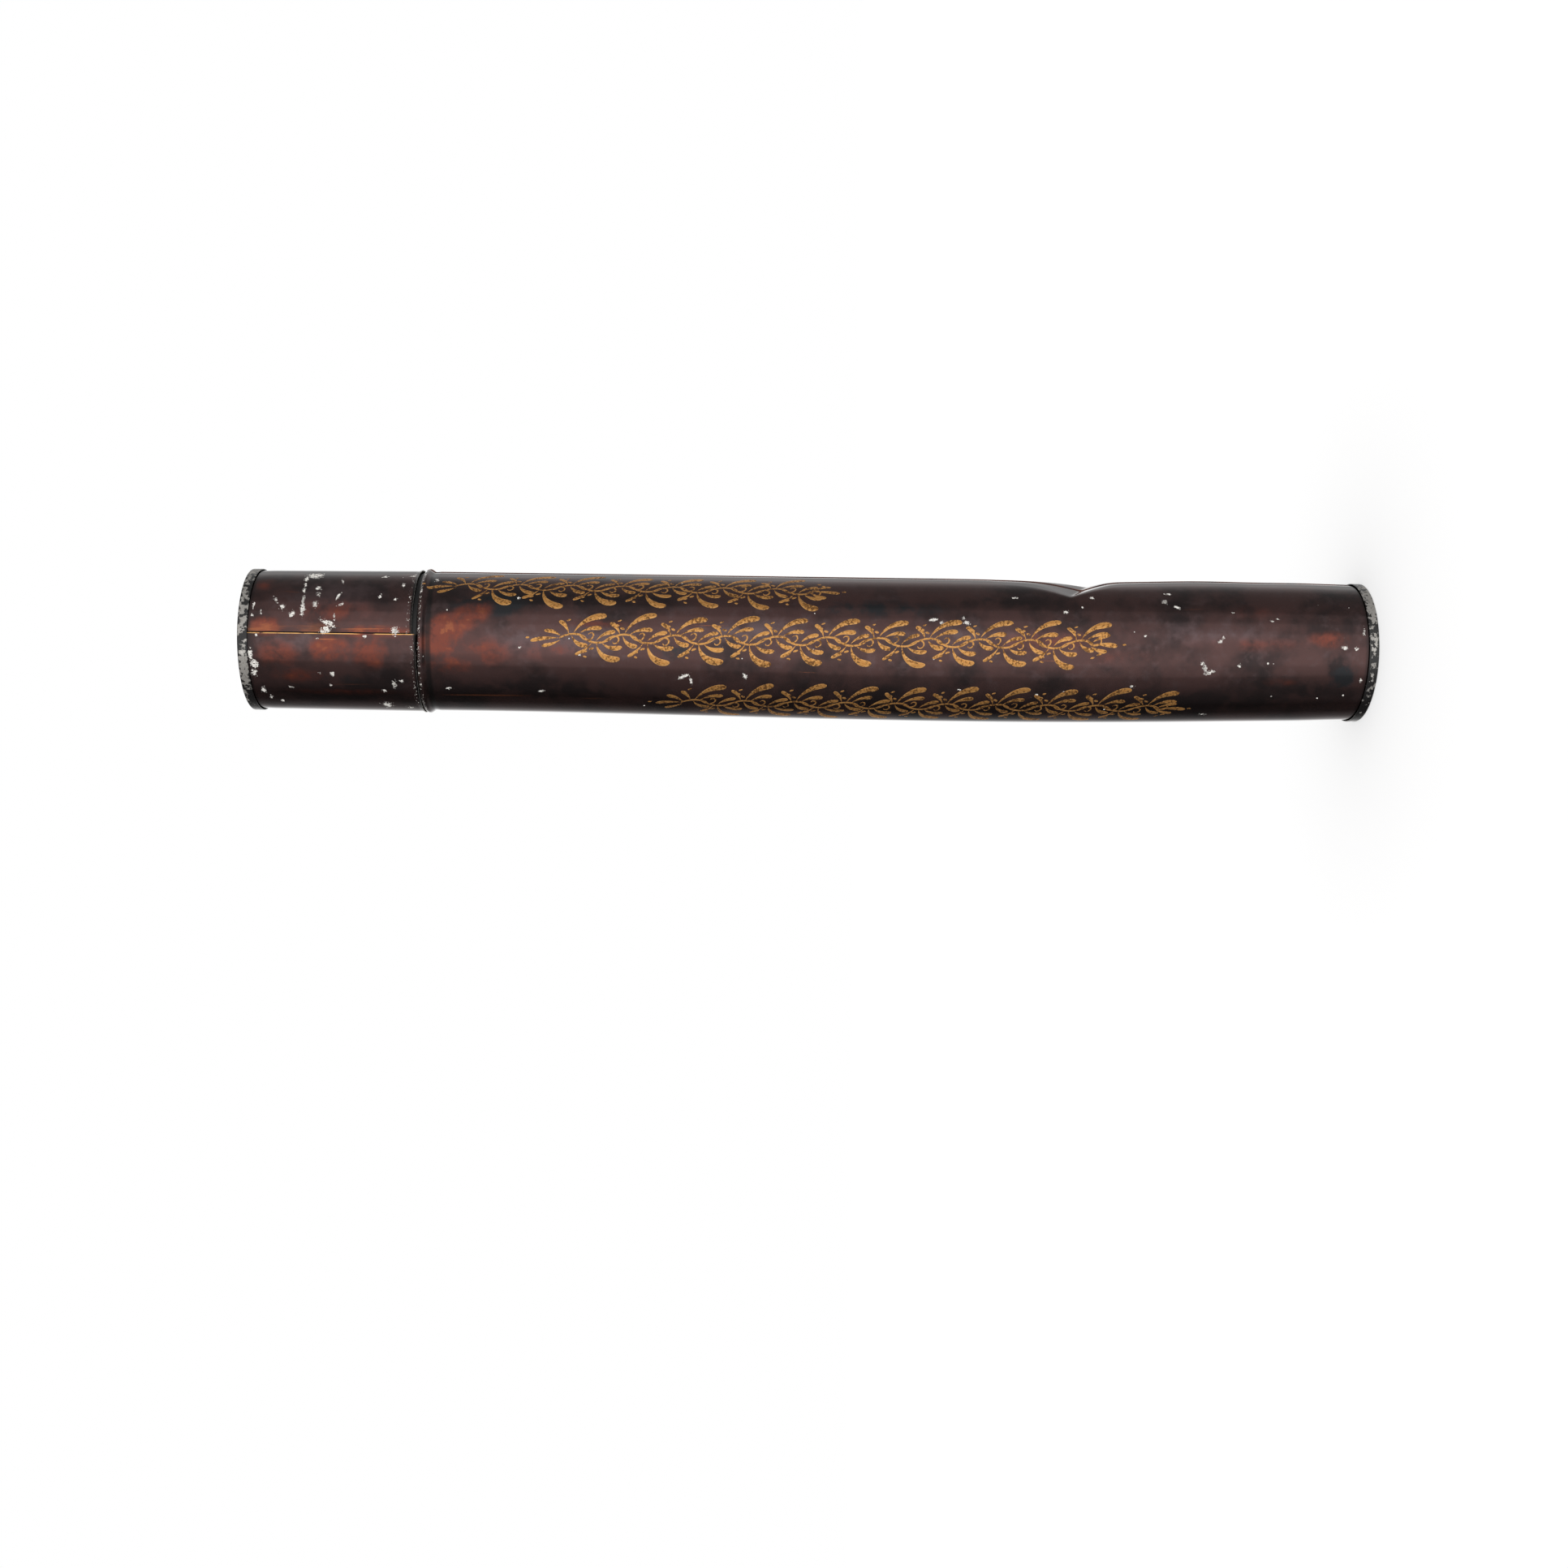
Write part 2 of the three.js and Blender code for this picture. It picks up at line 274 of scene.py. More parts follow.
def worn_radius(s, w, angles, z):
    """Radius of the worn body. The rolled profile swells by a skewed sine along its length, times
    a bow and an oval round it, plus a soft shoulder less a soft hollow. The dent is the lesser of
    that and two planes that meet in the crease. The crease and the planes' edges are rounded."""
    along = np.clip(z / s.groove_centre, 0, 1)
    swell = np.sin(math.pi * along ** w.bow_skew) ** w.bow_power
    squash = -w.bow * np.sin(angles) - w.oval * np.cos(2 * angles)
    rise = w.shoulder_rise * hump(z - w.shoulder_height, w.shoulder_half_length)
    hollow = w.hollow_depth * hump(z - w.dent_height, w.hollow_half_length)
    soft = (rise - hollow) * hump(turn_from(angles, math.pi / 2), w.soft_half_angle)
    wall = body_profile(s, z) + swell * squash + soft

    from_crease = z - w.dent_height + crease_drop(w, angles)
    reach = np.where(from_crease > 0, w.dent_towards_mouth, w.dent_towards_foot)
    away = np.hypot(from_crease / reach, w.crease_rounding / w.dent_towards_mouth)
    depth = w.dent_depth * np.maximum(1 - away, 0) ** 2
    turn = turn_from(angles, w.dent_angle)
    dented = (depth > 0) & (np.abs(turn) < 2 * w.crease_half_angle)
    plane = (s.body_radius - depth) / np.cos(np.where(dented, turn, 0))
    corner = np.maximum(w.dent_rounding - np.abs(wall - plane), 0) / w.dent_rounding
    folded = np.minimum(wall, plane) - corner ** 2 * w.dent_rounding / 4
    return np.where(dented, folded, wall)


def cap_profile(s, z):
    """Radius of the cap: its mouth's radius, less a straight taper, with a parabolic flare at the
    lip and a smooth draw-in under the disc."""
    from_mouth = z - s.cap_mouth
    lip = s.lip_flare * np.maximum(1 - from_mouth / s.lip_length, 0) ** 2
    start = s.overall_length - s.skirt_depth - s.cap_draw_in_length
    draw_in = s.cap_draw_in * smooth((z - start) / s.cap_draw_in_length)
    return s.cap_mouth_radius - s.cap_taper * from_mouth / s.cap_length + lip - draw_in


def wall_points(profile, radius, angles, z, out):
    """Points of a wall, each a distance out from its outside face along the profile's normal."""
    step = 0.01 * MM
    slope = (profile(z + step) - profile(z - step)) / (2 * step)
    tilt = np.hypot(1, slope)
    r = radius + out / tilt
    height = z - out * slope / tilt
    return np.stack(np.broadcast_arrays(r * np.sin(angles), -r * np.cos(angles), height), axis=-1)


def stations(*spans, share=1):
    """Heights joined from spans, each with its start, end and number of steps, of which a share
    is made."""
    parts = [
        np.linspace(start, end, max(1, round(count * share)), endpoint=False) for start, end, count in spans]
    return np.concatenate([*parts, [spans[-1][1]]])


def sheet_turns(s, count):
    """Turns round a sheet: evenly spaced, with close columns over both cut edges and the crevice."""
    edge = s.edge_round / s.body_radius
    lap = s.lap_width / s.body_radius
    crevice = s.crevice_width / s.body_radius
    corner = edge * np.array([0, 0.04, 0.15, 0.4, 1])
    close = np.concatenate([corner, lap + corner, FULL_TURN - crevice * np.linspace(0.1, 1, 6)])
    even = np.linspace(0, FULL_TURN, count, endpoint=False)
    gap = np.abs(turn_from(even[:, None], close[None, :])).min(axis=1)
    least_gap = 0.15 * MM / s.body_radius
    return np.sort(np.concatenate([even[gap > least_gap], close]))


def sheet_layers(s, turns):
    """How far the outside and inside faces stand out, for each turn. The outer layer rises as a
    quarter round at its free edge and settles down after the lap. Beside the edge is a hairline
    crevice. Inside, the inner layer ends at the far side of the lap in the same way."""
    edge = s.edge_round / s.body_radius
    lap = s.lap_width / s.body_radius
    blend = s.lap_blend / s.body_radius
    crevice = s.crevice_width / s.body_radius

    def quarter_round(turn):
        t = np.clip(turn / edge, 0, 1)
        return np.sqrt(1 - (1 - t) ** 2)

    outer = quarter_round(turns) * (1 - smooth((turns - lap) / blend))
    inner = quarter_round(turns - lap) * (1 - smooth((turns - lap) / blend))
    hairline = s.crevice_depth * hump(turns - FULL_TURN + crevice / 2, crevice / 2)
    return s.sheet * outer - hairline, s.sheet * (inner - 1)


def closed_grid(rows, columns, flipped):
    """Quads of a grid that closes on itself both ways."""
    r = np.arange(rows)[:, None]
    c = np.arange(columns)[None, :]
    up = (r + 1) % rows
    on = (c + 1) % columns
    quads = np.stack([r * columns + c, r * columns + on, up * columns + on, up * columns + c], axis=-1)
    quads = quads.reshape(-1, 4)
    return quads[:, ::-1] if flipped else quads


def new_piece(context, name, points, *face_groups):
    """A mesh object at the origin, from points and arrays of quads or triangles, shaded smooth
    but for its sharp bends."""
    mesh = bpy.data.meshes.new(name)
    corners = np.concatenate([group.ravel() for group in face_groups])
    counts = np.concatenate([np.full(len(group), group.shape[1]) for group in face_groups])
    mesh.vertices.add(len(points))
    mesh.vertices.foreach_set("co", points.astype(np.float32).ravel())
    mesh.loops.add(len(corners))
    mesh.loops.foreach_set("vertex_index", corners.astype(np.int32))
    mesh.polygons.add(len(counts))
    mesh.polygons.foreach_set("loop_start", (np.cumsum(counts) - counts).astype(np.int32))
    mesh.update(calc_edges=True)
    mesh.shade_smooth()
    mesh.set_sharp_from_angle(angle=context.scene.tube_fineness.smooth_angle)
    piece = bpy.data.objects.new(name, mesh)
    context.scene.collection.objects.link(piece)
    return piece


def rolled_piece(context, name, outside, inside, flipped, outer_material, inner_material):
    """A rolled sheet from its outside rows, going up, and its inside rows, going down, joined
    into one closed skin. The inside rows get the second material."""
    rows, columns = len(outside) + len(inside), outside.shape[1]
    points = np.concatenate([outside, inside]).reshape(-1, 3)
    piece = new_piece(context, name, points, closed_grid(rows, columns, flipped))
    piece.data.materials.append(outer_material)
    piece.data.materials.append(inner_material)
    row_of_face = np.repeat(np.arange(rows), columns)
    piece.data.polygons.foreach_set("material_index", (row_of_face >= len(outside) - 1).astype(np.int32))
    return piece


def body_rows(s, w, share):
    """Heights of the body's rows, closest at the crease of the dent and at the bead."""
    crease = w.dent_height
    drawn = s.wall_foot + s.foot_draw_in_length
    near = 7 * MM
    groove_start = s.groove_centre - s.groove_half_width
    below, above = crease - 24 * MM, crease + 36 * MM
    return stations(
        (s.wall_foot, s.skirt_depth, 2), (s.skirt_depth, drawn, 11), (drawn, below, 20),
        (below, crease - near, 16), (crease - near, crease + near, 22), (crease + near, above, 18),
        (above, groove_start, 34), (groove_start, s.body_edge, 26), share=share)


def body_wall_points(s, w, rows, turns, out):
    """The body's wall. Rows shift to follow the slanting crease, so that it stays sharp: the shift
    is the crease's drop, fading with the distance from the dent."""
    angles = (s.body_seam + turns)[None, :]
    rows = rows[:, None]
    turn = np.abs(turn_from(angles, w.dent_angle))
    near = np.maximum(1 - np.abs(rows - w.dent_height) / (2 * w.dent_towards_mouth), 0)
    z = rows - crease_drop(w, angles) * near * (1 - smooth(turn / w.crease_half_angle - 1))
    return wall_points(lambda at: body_profile(s, at), worn_radius(s, w, angles, z), angles, z, out[None, :])


def cap_wall_points(s, rows, turns, out, lift):
    """The cap's wall, turning the other way. Its mouth is out of square: rows near it are lifted,
    smoothly more from one side of the seam round to the other."""
    angles = (s.cap_seam - turns)[None, :]
    rows = rows[:, None]
    near = 1 - smooth((rows - s.cap_mouth) / s.mouth_skew_fade)
    shift = s.mouth_skew * lift[None, :] * near
    return wall_points(
        lambda z: cap_profile(s, z - shift), cap_profile(s, rows), angles, rows + shift, out[None, :])


def cap_rows(s, share):
    """Heights of the cap's rows, closest at the flared lip."""
    skirt = s.overall_length - s.skirt_depth
    drawn = skirt - s.cap_draw_in_length
    lip = s.cap_mouth + s.lip_length
    squared = s.cap_mouth + s.mouth_skew_fade
    return stations(
        (s.cap_mouth, lip, 14), (lip, squared, 12), (squared, drawn, 26),
        (drawn, s.overall_length - s.wall_foot, 10), share=share)


def end_fans(count, last, pole):
    """Triangles from one pole to the first ring, and from the next pole to the last ring."""
    first = np.arange(count)
    on = (first + 1) % count
    return np.concatenate([np.stack([np.full(count, pole), on, first], 1),
                           np.stack([np.full(count, pole + 1), last + first, last + on], 1)])


def revolved(profile, count, waver=None):
    """A closed profile of radii and heights carried round the axis. A function of the angles may
    add a waver to each radius, in proportion to it."""
    angles = np.linspace(0, FULL_TURN, count, endpoint=False)[None, :]
    radius = profile[:, 0][:, None]
    if waver is not None:
        radius = radius * (1 + waver(angles))
    z = np.broadcast_to(profile[:, 1][:, None], radius.shape[:1] + angles.shape[1:])
    return np.stack(np.broadcast_arrays(radius * np.sin(angles), -radius * np.cos(angles), z), axis=-1)


def collar_piece(context, s, material):
    """The collar: a straight sleeve with the body's groove, drawn in by a parabola at its end."""
    foot = s.body_edge - s.collar_seat
    lead = s.collar_top - s.collar_lead_in_length
    groove_start, groove_end = s.groove_centre - s.groove_half_width, s.groove_centre + s.groove_half_width
    z = stations((foot, groove_start, 6), (groove_start, groove_end, 16), (groove_end, lead, 24),
                 (lead, s.collar_top, 8))
    closing = np.maximum(z - lead, 0) / s.collar_lead_in_length
    radius = s.collar_radius - groove_at(s, z) - s.collar_lead_in * closing ** 2
    profile = np.concatenate([np.stack([radius, z], 1), np.stack([radius - s.sheet, z], 1)[::-1]])
    count = context.scene.tube_fineness.rounds
    points = revolved(profile, count)
    piece = new_piece(context, "tube_collar", points.reshape(-1, 3), closed_grid(len(profile), count, False))
    piece.data.materials.append(material)
    return piece


def pan_piece(context, s, name, wall_radius, turned_over, material):
    """An end disc: a pan with a bent edge and a skirt. Its profile runs from the pole of the
    outside face, round the bend, down the skirt and back inside. The face sinks by a parabola.
    Turned over, its heights count down from the top."""
    inner = wall_radius + s.sheet + s.solder
    outer = inner + s.sheet
    bend = s.bend_inside + s.sheet
    quarter = np.linspace(-math.pi / 2, 0, 9)
    flat = outer - bend
    radii = np.linspace(0, flat, 22)[1:-1]

    def dish(r):
        return s.disc_dish * (1 - (r / flat) ** 2) ** 2

    def arc(radius, angles):
        return np.stack([flat + radius * np.cos(angles), bend + radius * np.sin(angles)], 1)

    lip_round = 0.12 * MM
    roll = lip_round * np.array([[0, 0], [-0.3, 0.7], [-1.0, 1.0], [-1.5, 1.0], [-2.2, 0.7], [-2.5, 0]])
    lip = roll + np.array([outer, s.skirt_depth - lip_round])
    skirt_out = np.stack([np.full(5, outer), np.linspace(bend, lip[0, 1], 6)[:-1]], 1)[1:]
    skirt_in = np.stack([np.full(5, inner), np.linspace(lip[-1, 1], bend, 6)[1:]], 1)[:-1]
    profile = np.concatenate([
        np.stack([radii, dish(radii)], 1), arc(bend, quarter), skirt_out, lip, skirt_in,
        arc(s.bend_inside, quarter[::-1]), np.stack([radii, dish(radii) + s.sheet], 1)[::-1],
    ])
    count = context.scene.tube_fineness.rounds
    waver = s.rim_waver / outer
    phase = 0.7 if turned_over else 2.1

    def strayed(angles):
        return waver * (0.6 * np.sin(3 * angles + phase) + 0.4 * np.sin(7 * angles + 2 * phase))

    rings = revolved(profile, count, strayed)
    poles = np.array([[0, 0, dish(0)], [0, 0, dish(0) + s.sheet]])
    points = np.concatenate([rings.reshape(-1, 3), poles])
    if turned_over:
        points = points * [1, 1, -1] + [0, 0, s.overall_length]
    quads = closed_grid(len(profile), count, False)[:(len(profile) - 1) * count]
    fans = end_fans(count, (len(profile) - 1) * count, len(profile) * count)
    if turned_over:
        quads, fans = quads[:, ::-1], fans[:, ::-1]
    piece = new_piece(context, name, points, quads, fans)
    piece.data.materials.append(material)
    return piece


# Gilded ornament

# Strokes that grow at each node of a running vine, for a node on its upper side: where the stroke
# starts, in mm along and up from the node, its heading, bend and curl in degrees, its length and
# half width in mm, and the two powers that shape its ends
VINE_STROKES = [
    (0.0, 0.2, 76, -84, 0, 12.5, 1.75, 0.95, 5),
    (1.9, 0.1, 44, -58, 0, 8.0, 1.25, 0.95, 5),
    (-1.6, 0.0, 112, 46, 0, 6.5, 1.0, 0.95, 5),
    (-0.4, -0.5, -62, 66, 0, 7.6, 1.2, 0.95, 5),
    (2.4, -0.4, -40, -30, 330, 9.5, 0.3, 0.12, 6),
    (7.0, -5.4, 20, 0, 0, 1.7, 0.8, 0.5, 1),
    (5.1, -6.6, 20, 0, 0, 1.5, 0.7, 0.5, 1),
    (-3.6, 4.9, 20, 0, 0, 1.4, 0.65, 0.5, 1),
]

# The spray at each end of a vine, given in the same way for the end towards the foot
SPRAY_STROKES = [
    (0.0, 0.0, 4, -18, 0, 9.5, 1.3, 0.95, 4),
    (-0.6, 0.6, 38, -34, 0, 7.0, 1.1, 0.95, 4),
    (-0.6, -0.6, -38, 34, 0, 7.0, 1.1, 0.95, 4),
    (10.6, 0.1, 0, 0, 0, 1.4, 0.7, 0.5, 1),
]

# The stem of a vine: mm between its nodes, its lean in degrees, how far its arcs overlap, its half
# width in mm, and the two powers that shape its ends
VINE_SPACING = 9.2
STEM_LEAN = 36
STEM_OVERLAP = 1.05
STEM_HALF_WIDTH = 0.38
STEM_RISE, STEM_FALL = 0.06, 9

# Every stroke: its slant in degrees, how far it stands out and is sunk, the half width in mm under
# which it is also flatter, and its sides
STROKE_SLANT = 14
STROKE_HEIGHT = 0.055
STROKE_SUNK = 0.07
THIN_STROKE = 0.3
STROKE_SIDES = 8

# Small differences between strokes: the seed, the heading in degrees, and shares of length and width
ORNAMENT_SEED = 7
HEADING_STRAY = 5
LENGTH_STRAY = 0.07
WIDTH_STRAY = 0.09

# Rows of ornament on the body: name, angle of the row, height of its start, its length in mm
ORNAMENT_ROWS = [
    ("ornament_right", 48, 331, 128),
    ("ornament_front", 0, 293, 190),
    ("ornament_left", -58, 250, 173),
]


def vine_strokes(row_length, spacing, rng):
    """All strokes of one vine as rows of numbers: at alternate sides of a stem of joined arcs
    stand the strokes of one node, mirrored for the lower side, each a little different."""
    nodes = round(row_length / spacing)
    spacing = row_length / nodes
    side = np.where(np.arange(nodes) % 2 == 0, 1.0, -1.0)
    lean = math.radians(STEM_LEAN)
    stem_length = spacing * lean / math.sin(lean) * STEM_OVERLAP
    crest = spacing / 2 * math.tan(lean / 2)
    zero = np.zeros(nodes)
    stem = np.stack([
        np.arange(nodes) * spacing, zero, side * lean, -side * 2 * lean, zero,
        zero + stem_length, zero + STEM_HALF_WIDTH, zero + STEM_RISE, zero + STEM_FALL,
    ], 1)
    family = np.array(VINE_STROKES)
    grown = np.repeat(family[None], nodes, axis=0)
    grown[..., 2:5] = np.radians(grown[..., 2:5])
    grown[..., 0] += (np.arange(nodes)[:, None] + 0.5) * spacing
    grown[..., 1] += crest
    grown[..., 1:5] *= side[:, None, None]
    spray = np.array(SPRAY_STROKES)
    spray[:, 2:5] = np.radians(spray[:, 2:5])
    far, near = spray.copy(), spray.copy()
    far[:, 0] += row_length
    near[:, 0] *= -1
    near[:, 2] = math.pi - near[:, 2]
    near[:, 3:5] *= -1
    strokes = np.concatenate([stem, grown.reshape(-1, family.shape[1]), far, near])
    stray = rng.uniform(-1, 1, (len(strokes), 3))
    stray *= [math.radians(HEADING_STRAY), LENGTH_STRAY, WIDTH_STRAY]
    stray[:nodes] = 0
    strokes[:, 2] += stray[:, 0]
    strokes[:, 5] *= 1 + stray[:, 1]
    strokes[:, 6] *= 1 + stray[:, 2]
    return strokes


def ornament_piece(context, s, w, name, row_angle, start_height, row_length, rng, material):
    """Brush strokes laid on the worn wall. A stroke's spine turns by its bend and, with the square
    of the way along, by its curl. Its half width is the way along to one power, times the root of
    one less the way to another. Across it is a thin lens that is half sunk in the wall."""
    strokes = vine_strokes(row_length, VINE_SPACING, rng)
    rings = context.scene.tube_fineness.stroke_rings
    t = (np.arange(rings) + 0.5) / rings
    t = np.concatenate([[0], 0.5 - 0.5 * np.cos(math.pi * t), [1]])[None, :]
    x0, y0, heading, bend, curl, size, half, rise, fall = [column[:, None] for column in strokes.T]
    direction = heading + bend * t + curl * t * t
    step = np.diff(t, axis=1) * size
    along_step = step * (np.cos(direction[:, 1:]) + np.cos(direction[:, :-1])) / 2
    up_step = step * (np.sin(direction[:, 1:]) + np.sin(direction[:, :-1])) / 2
    x = x0 + np.concatenate([np.zeros_like(x0), np.cumsum(along_step, 1)], 1)
    y = y0 + np.concatenate([np.zeros_like(y0), np.cumsum(up_step, 1)], 1)
    width = half * t ** rise * np.sqrt(np.maximum(1 - t ** fall, 0))

    section = np.arange(STROKE_SIDES) * FULL_TURN / STROKE_SIDES
    across = np.cos(section)
    height = np.where(np.sin(section) > 0, STROKE_HEIGHT, STROKE_SUNK) * np.sin(section) * MM
    slant = math.tan(math.radians(STROKE_SLANT))
    px = x[..., None] - (width * np.sin(direction))[..., None] * across
    py = y[..., None] + (width * np.cos(direction))[..., None] * across
    px = px + slant * py
    angles = math.radians(row_angle) + py * MM / s.body_radius
    z = (start_height - px) * MM
    out = np.broadcast_to(height, z.shape) * np.minimum(1, width / THIN_STROKE)[..., None]
    points = wall_points(lambda at: body_profile(s, at), worn_radius(s, w, angles, z), angles, z, out)

    count, along, sides = points.shape[:3]
    ring_points = points[:, 1:-1].reshape(count, -1, 3)
    ends = points[:, [0, -1], 0]
    all_points = np.concatenate([ring_points, ends], axis=1)
    per = all_points.shape[1]
    quads = closed_grid(along - 2, sides, False)[:(along - 3) * sides]
    fans = end_fans(sides, (along - 3) * sides, (along - 2) * sides)
    base = (np.arange(count) * per)[:, None, None]
    quads = (quads[None] + base).reshape(-1, 4)[:, ::-1]
    fans = (fans[None] + base).reshape(-1, 3)[:, ::-1]
    piece = new_piece(context, name, all_points.reshape(-1, 3), quads, fans)
    way = np.broadcast_to(t[:, 1:-1, None], (count, along - 2, sides)).reshape(count, -1)
    way = np.concatenate([way, np.tile([0.0, 1.0], (count, 1))], axis=1)
    edge = np.broadcast_to(across[None, None], (count, along - 2, sides)).reshape(count, -1)
    edge = np.concatenate([edge, np.ones((count, 2))], axis=1)
    stroke = np.stack([way.ravel(), 0.5 + 0.5 * edge.ravel()], 1)
    uv = piece.data.uv_layers.new(name="Stroke")
    corners = np.zeros(len(piece.data.loops), np.int32)
    piece.data.loops.foreach_get("vertex_index", corners)
    uv.data.foreach_set("uv", stroke[corners].astype(np.float32).ravel())
    piece.data.materials.append(material)
    return piece


# Shader expressions


class Socket:
    """One output of a node. Python's operators on it add Math nodes."""

    def __init__(self, tree, output):
        self.tree = tree
        self.output = output

    def math(self, operation, *values):
        return self.tree.node("ShaderNodeMath", {"operation": operation}, dict(enumerate(values)))

    def __add__(self, other):
        return self.math("ADD", self, other)

    def __radd__(self, other):
        return self.math("ADD", other, self)

    def __sub__(self, other):
        return self.math("SUBTRACT", self, other)

    def __rsub__(self, other):
        return self.math("SUBTRACT", other, self)

    def __mul__(self, other):
        return self.math("MULTIPLY", self, other)

    def __rmul__(self, other):
        return self.math("MULTIPLY", other, self)

    def __truediv__(self, other):
        return self.math("DIVIDE", self, other)

    def __neg__(self):
        return self.math("MULTIPLY", self, -1)

    def __abs__(self):
        return self.math("ABSOLUTE", self)

    def most(self, other):
        return self.math("MAXIMUM", self, other)

    def step_up(self, low, high):
        """0 below one value and 1 above the other, with a smooth step between them. It steps down
        where the first is the greater."""
        limits = {"Value": self, "From Min": low, "From Max": high, "To Min": 0, "To Max": 1}
        return self.tree.node("ShaderNodeMapRange", {"interpolation_type": "SMOOTHSTEP"}, limits)

    def other(self, name):
        """Another output of the same node."""
        return Socket(self.tree, self.output.node.outputs[name])


class Tree:
    """The node tree of a material or world."""

    def __init__(self, owner):
        owner.use_nodes = True
        self.nodes = owner.node_tree.nodes
        self.links = owner.node_tree.links
        self.nodes.clear()

    def node(self, kind, settings=None, inputs=None, output=0):
        """Adds one node: its settings first, then the values or links of its sockets."""
        made = self.nodes.new(kind)
        for name, value in (settings or {}).items():
            if name == "stops":
                self.set_stops(made.color_ramp, value)
            else:
                setattr(made, name, value)
        for name, value in (inputs or {}).items():
            if isinstance(value, Socket):
                self.links.new(value.output, made.inputs[name])
            else:
                made.inputs[name].default_value = value
        return Socket(self, made.outputs[output]) if made.outputs else made

    @staticmethod
    def set_stops(ramp, stops):
        while len(ramp.elements) < len(stops):
            ramp.elements.new(1)
        for element, (position, value) in zip(ramp.elements, stops):
            element.position = position
            element.color = (value, value, value, 1)

    def mix(self, factor, first, second):
        """The first colour, going over to the second as the factor goes to 1."""
        first, second = [tuple(c) + (1,) if not isinstance(c, Socket) else c for c in (first, second)]
        return self.node("ShaderNodeMix", {"data_type": "RGBA"}, {0: factor, 6: first, 7: second}, output=2)

    def position(self):
        return self.node("ShaderNodeTexCoord", output="Object")

    def vector(self, operation, first, second, output="Vector"):
        return self.node("ShaderNodeVectorMath", {"operation": operation}, {0: first, 1: second}, output)

    def noise(self, position, grain, detail=3, roughness=0.55, offset=0):
        """Cloudy noise, with its grain in mm, from 0 to 1 about a half."""
        if offset:
            position = self.vector("ADD", position, (offset, 2 * offset, -offset))
        return self.node("ShaderNodeTexNoise", None, {
            "Vector": position, "Scale": 1 / (grain * MM), "Detail": detail, "Roughness": roughness})

    def cells(self, position, size):
        """Scattered cells, with their size in mm: the distance from each cell's point."""
        return self.node("ShaderNodeTexVoronoi", None, {"Vector": position, "Scale": 1 / (size * MM)})

    def skin(self, position, radius):
        """The wall laid flat, in metres: the arc round from the front, and the height."""
        x = self.node("ShaderNodeSeparateXYZ", None, {0: position})
        turn = x.math("ARCTAN2", x, -x.other("Y"))
        return self.node("ShaderNodeCombineXYZ", None, {"X": turn * radius, "Y": x.other("Z")})

    def patches(self, skin, radius, table):
        """The strongest of many soft ellipses on the flat wall. Each has its angle in degrees, its
        height, its half sizes round and along in mm, its tilt in degrees, and its strength."""
        strongest = None
        for degrees, height, around, along, tilt, strength in table:
            place = (math.radians(degrees) * radius, height * MM, 0)
            away = self.vector("SUBTRACT", skin, place)
            if tilt:
                turn = math.radians(tilt)
                first = (math.cos(turn) / (around * MM), math.sin(turn) / (around * MM), 0)
                second = (-math.sin(turn) / (along * MM), math.cos(turn) / (along * MM), 0)
                away = self.node("ShaderNodeCombineXYZ", None, {
                    "X": self.vector("DOT_PRODUCT", away, first, "Value"),
                    "Y": self.vector("DOT_PRODUCT", away, second, "Value")})
            else:
                away = self.vector("MULTIPLY", away, (1 / (around * MM), 1 / (along * MM), 0))
            reach = self.vector("LENGTH", away, (0, 0, 0), "Value")
            patch = reach.math("MULTIPLY_ADD", reach, -strength, strength)
            strongest = patch if strongest is None else strongest.most(patch)
        return strongest.most(0)

    def surface(self, bump_height, bump_reach, **inputs):
        """A Principled surface with a bump, joined to the output."""
        normal = self.node("ShaderNodeBump", None, {
            "Height": bump_height, "Strength": 1, "Distance": bump_reach})
        values = {name.replace("_", " "): value for name, value in inputs.items()}
        shader = self.node("ShaderNodeBsdfPrincipled", None, {**values, "Normal": normal})
        self.node("ShaderNodeOutputMaterial", None, {"Surface": shader})


# Wear that has its own place: angle in degrees, height, half sizes round and along in mm, tilt in
# degrees, strength

